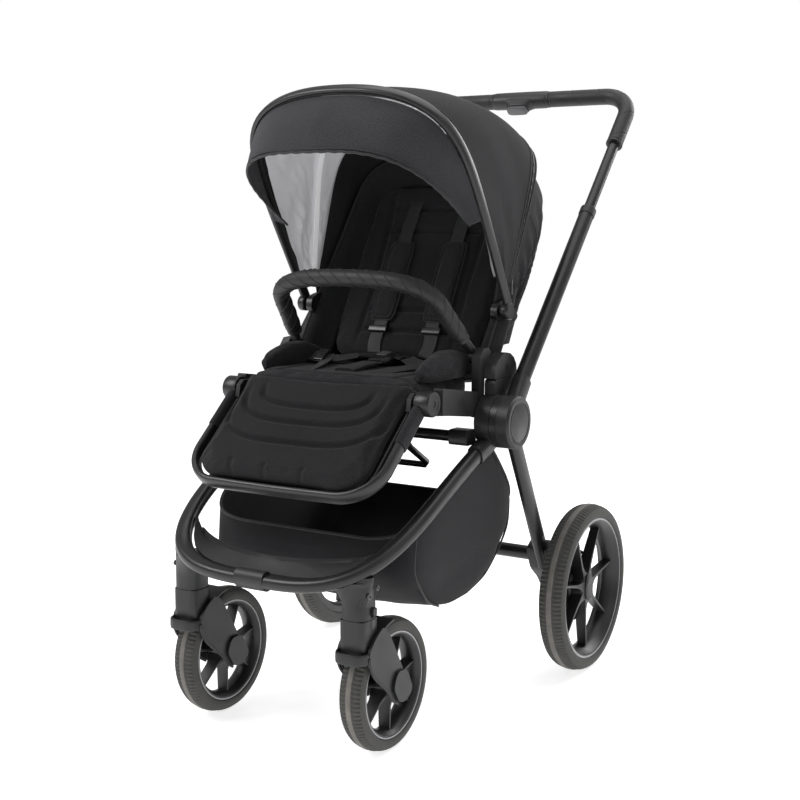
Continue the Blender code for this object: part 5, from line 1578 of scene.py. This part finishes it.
def basket():
    """Sagging fabric basket hung between the frame tubes."""
    count = 132
    # Half width, squareness, front, rear and height of each level; the top one follows the rim.
    levels = ((0.195, 7.0, -0.318, 0.068, None), (0.195, 6.8, -0.328, 0.0675, 0.296),
              (0.194, 6.2, -0.328, 0.06, 0.27), (0.1915, 5.5, -0.306, 0.037, 0.241),
              (0.1875, 5.0, -0.262, -0.006, 0.209), (0.1815, 4.5, -0.205, -0.06, 0.1905))

    def loop(half, square, front, rear, height):
        points = []
        for i in range(count):
            a = 2 * pi * i / count
            x = half * power(cos(a), square)
            y = (front + rear) / 2 + (rear - front) / 2 * power(sin(a), square)
            top = rim_height(x, y)
            points.append(Vector((x, y, top if height is None else min(height, top - 0.012))))
        return points

    loops = [loop(*level) for level in levels]
    rows = between([loops[0]] + loops + [loops[-1]], 6) + [loops[-1]]
    middle = Vector((0.0, -0.13, 0.1885))
    for shrink in (0.86, 0.66, 0.44, 0.22, 0.04):
        drop = Vector((0, 0, 0.002 * (1 - shrink)))
        rows.append([middle + (p - middle) * shrink - drop for p in loops[-1]])
    closed = [row + [row[0]] for row in rows]
    obj = surface("basket_shell", closed)
    face_outward(obj, (0.0, -0.13, 0.3))
    tall = sheet_size(closed)[1]

    def sag(co, at):
        wall = sin(pi * clamp(at[1] / tall))
        heavy = 0.0055 * noise.noise(Vector((co.x * 9.0, co.y * 9.0, co.z * 12.0)))
        small = 0.0016 * noise.noise(Vector((co.x * 26.0, co.y * 22.0, co.z * 30.0)))
        return wall * (heavy + small) - 0.002 * wall

    merge(obj, 1e-5)
    ripple(obj, sag)
    solidify(obj, CLOTH_THICK, 0.0)
    finish(obj, "chassis", BASKET, 60.0)
    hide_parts("basket")
    piping("basket_rim_binding", loops[0], 0.0024, "chassis", BINDING, True)
    for word, side in SIDES:
        for step, name in ((-10, "a"), (11, "b")):
            index = step if side > 0 else count // 2 - step
            line = [row[index] for row in rows[2:34]]
            piping(f"basket_seam_{name}_{word}", line, 0.0018, "chassis", BINDING)


def wrap_seam(name, line, flat, start):
    """Raised edge of the leatherette wound round the bumper."""
    radius, pitch = 0.014, -0.098
    step = (line[1] - line[0]).length
    points = []
    for k in range(1, len(line) - 1):
        ahead = (line[k + 1] - line[k - 1]).normalized()
        side = ahead.cross(Vector(flat)).normalized()
        above = side.cross(ahead)
        a = 2 * pi * (k * step / pitch + start)
        points.append(line[k] + (side * cos(a) + above * sin(a)) * radius)
    edge = tube(name, points[::3], ellipse(0.0022, 0.0016, 8))
    finish(edge, "bumper", LEATHER, 60.0)


def bumper():
    """Leatherette bumper bar with the slanting seams of its wrap, and its end fittings."""
    shape = [(0.04, 0.1662), (0.06, 0.1632), (0.08, 0.1595), (0.11, 0.1555), (0.128, 0.151), (0.1425, 0.14),
             (0.154, 0.123), (0.164, 0.093), (0.169, 0.048), (0.17, 0.0)]
    line = curve(mirrored([bar(r, x) for r, x in shape]), 150)
    ends = [min(1.0, 0.86 + 0.14 * min(k, 150 - k) / 3) for k in range(151)]
    flat = Vector((0, -sin(BAR_ANGLE), -cos(BAR_ANGLE)))
    grip = tube("bumper_cover", line, [ellipse(0.028 * f, 0.028 * f, 36) for f in ends], up=flat)
    finish(grip, "bumper", LEATHER, 60.0)
    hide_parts("bumper_bar")
    fine = resample(line, 1400)[25:-25]
    for turn in range(4):
        wrap_seam(f"bumper_wrap_seam_{turn}", fine, flat, turn / 4)
    for word, side in SIDES:
        path = [bar(r, side * x) for r, x in ((0.001, 0.1768), (0.02, 0.1735), (0.05, 0.1655))]
        arm = tube(f"bumper_arm_{word}", path, ellipse(0.0122, 0.017, 24, 3.0), up=(1, 0, 0))
        profile = ((0.0, 0.1702), (0.0115, 0.1702), (0.0125, 0.1712), (0.0125, 0.1828), (0.0115, 0.1836),
                   (0.0046, 0.1836), (0.0044, 0.1922), (0.0, 0.1924))
        eye = spun("eye", side, profile, BAR, 36)
        fitting = join(f"bumper_fitting_{word}", arm, eye)
        finish(fitting, "bumper", PLASTIC, 35.0)
        bevel(fitting, 0.0005, 2, 40.0)
        collar = tube(f"bumper_collar_{word}", [bar(0.037, side * 0.1667), bar(0.043, side * 0.1655)],
                      ellipse(0.0262, 0.0262, 30), up=(1, 0, 0))
        bevel(collar, 0.001)
        finish(collar, "bumper", PLASTIC, 40.0)


def split_faces(obj):
    """Split every face once so that fine relief can follow it."""
    bm = bmesh.new()
    bm.from_mesh(obj.data)
    bmesh.ops.subdivide_edges(bm, edges=bm.edges, cuts=1, use_grid_fill=True)
    bm.to_mesh(obj.data)
    bm.free()
    return obj


def housing():
    """Moulded centre of the handlebar, flaring into the cup that holds the fold button."""
    places = (-0.061, -0.06, -0.053, -0.02, 0.02, 0.053, 0.06, 0.061)
    sizes = (0.0285, 0.03, 0.032, 0.0325, 0.0325, 0.032, 0.03, 0.0285)
    bar_part = tube("bar", [handle(HANDLE_LENGTH, x) for x in places],
                    [ellipse(s, s, 40, 2.3) for s in sizes], up=HANDLE_UP)
    drops = (0.002, 0.008, 0.013, 0.017, 0.0205, 0.0245, 0.025)
    spans = ((0.106, 0.029), (0.092, 0.03), (0.07, 0.029), (0.056, 0.027), (0.049, 0.025), (0.047, 0.024),
             (0.0455, 0.0225))
    cup = tube("cup", [handle(HANDLE_LENGTH - d, 0.0) for d in drops],
               [ellipse(a, b, 48, 3.0) for a, b in spans], up=HANDLE_UP)
    whole = join("handle_housing_shape", bar_part, cup)
    finish(whole, "handle_upper", PLASTIC, 50.0)
    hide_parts("handle_housing")
    drops = (0.0254, 0.0262, 0.0282, 0.0286, 0.029, 0.0306, 0.0312)
    spans = ((0.041, 0.019), (0.043, 0.02), (0.043, 0.02), (0.0405, 0.0185), (0.043, 0.02),
             (0.0425, 0.0195),
             (0.04, 0.0175))
    button = tube("fold_button", [handle(HANDLE_LENGTH - d, 0.0) for d in drops],
                  [ellipse(a, b, 40, 4.0) for a, b in spans], up=HANDLE_UP)
    finish(button, "handle_button", GREY, 30.0)
    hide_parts("handle_button")


def grips():
    """Leatherette over the handle bends, sewn along the inside."""
    for word, side in SIDES:
        path = resample(handle_bend([GRIP_AT, GRIP_AT + 0.035], side, 20, 0.061), 110)
        ends = [min(1.0, 0.93 + 0.07 * min(k, 110 - k) / 2) for k in range(111)]
        grip = tube(f"handle_grip_cover_{word}", path, [ellipse(0.03 * f, 0.031 * f, 36) for f in ends],
                    up=HANDLE_UP)

        def seam(_, at):
            around, along = at
            turn = (along + around * 0.8) / 0.055
            gap = abs((turn % 1.0) - 0.5) * 0.055
            return -0.0008 * max(0.0, 1.0 - gap / 0.0016)

        ripple(split_faces(grip), seam)
        finish(grip, "handle_upper", LEATHER, 60.0)
        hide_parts(f"handle_grip_{word}")
        for at, label in ((0, "low"), (-1, "end")):
            ahead = (path[1] - path[0]).normalized() if at == 0 else (path[-1] - path[-2]).normalized()
            ring = tube(f"grip_ring_{label}_{word}", [path[at] - ahead * 0.0022, path[at] + ahead * 0.0022],
                        ellipse(0.0312, 0.0318, 32), up=HANDLE_UP)
            bevel(ring, 0.001)
            finish(ring, "handle_upper", PLASTIC, 40.0)


# ---------------------------------------------------------------- stage

def studio():
    """White surroundings, a pale floor and four soft lamps."""
    bpy.context.scene.view_settings.view_transform = "Standard"
    world = bpy.data.worlds.new("studio")
    bpy.context.scene.world = world
    world.use_nodes = True
    tree = world.node_tree
    sky = tree.nodes["Background"]
    sky.inputs["Color"].default_value = (1.0, 1.0, 1.0, 1.0)
    ray = tree.nodes.new("ShaderNodeLightPath")
    level = tree.nodes.new("ShaderNodeMapRange")
    level.inputs["To Min"].default_value = 0.36
    level.inputs["To Max"].default_value = 1.0
    tree.links.new(ray.outputs["Is Camera Ray"], level.inputs["Value"])
    tree.links.new(level.outputs["Result"], sky.inputs["Strength"])
    floor_mesh = surface("studio_floor", [[(x, y, 0.0) for x in (-9.0, 0.0, 9.0)] for y in (-9.0, 0.0,
                                                                                            9.0)])
    paper = look("floor_paper", (0.86, 0.86, 0.87), 0.3, Specular_IOR_Level=0.5)
    shade = noise_of(paper, coordinates(paper), 1.2, 2.0)
    wire(paper, tint(paper, shade, (0.85, 0.85, 0.86), (0.88, 0.88, 0.89)),
         shader_of(paper).inputs["Base Color"])
    glow(paper, 0.72)
    floor_mesh.data.materials.append(paper)
    lamps = (
        ("key", (-1.7, -1.9, 2.6), 1.8, 62.0),
        ("side", (2.3, -0.6, 1.7), 1.5, 5.0),
        ("top", (0.2, 0.6, 3.0), 2.4, 34.0),
        ("rear", (0.9, 2.4, 1.7), 1.4, 34.0),
    )
    for name, place, size, power in lamps:
        data = bpy.data.lights.new(name, "AREA")
        data.size = size
        data.energy = power
        lamp = linked(name, data)
        lamp.location = place
        lamp.rotation_euler = (Vector((0.0, 0.0, 0.5)) - Vector(place)).to_track_quat("-Z", "Y").to_euler()


def camera():
    """The photo's camera, fitted to the frame's symmetric points and the wheels."""
    azimuth, pitch, roll = radians(31.21), radians(7.59), radians(0.28)
    away = Vector((sin(azimuth) * cos(pitch), -cos(azimuth) * cos(pitch), sin(pitch)))
    right = Vector((cos(azimuth), sin(azimuth), 0.0))
    above = away.cross(right)
    across = right * cos(roll) + above * sin(roll)
    upward = above * cos(roll) - right * sin(roll)
    data = bpy.data.cameras.new("camera")
    data.lens = 58.98
    data.sensor_width = 36.0
    made = linked("camera", data)
    turn = Matrix((across, upward, away)).transposed()
    made.matrix_world = Matrix.Translation((1.176, -1.963, 0.796)) @ turn.to_4x4()
    bpy.context.scene.camera = made


# ---------------------------------------------------------------- build

def build():
    camera()
    studio()
    rigid_parts()
    frame_tubes()
    front_sleeve()
    for word, side in SIDES:
        tyre(word, side, True)
        tyre(word, side, False)
        rear_wheel(word, side)
        front_wheel(word, side)
        fork(word, side)
    canopy()
    seat_back()
    leg_pad()
    seat_cushion()
    back_cushion()
    harness()
    bolsters()
    basket()
    bumper()
    housing()
    grips()


build()
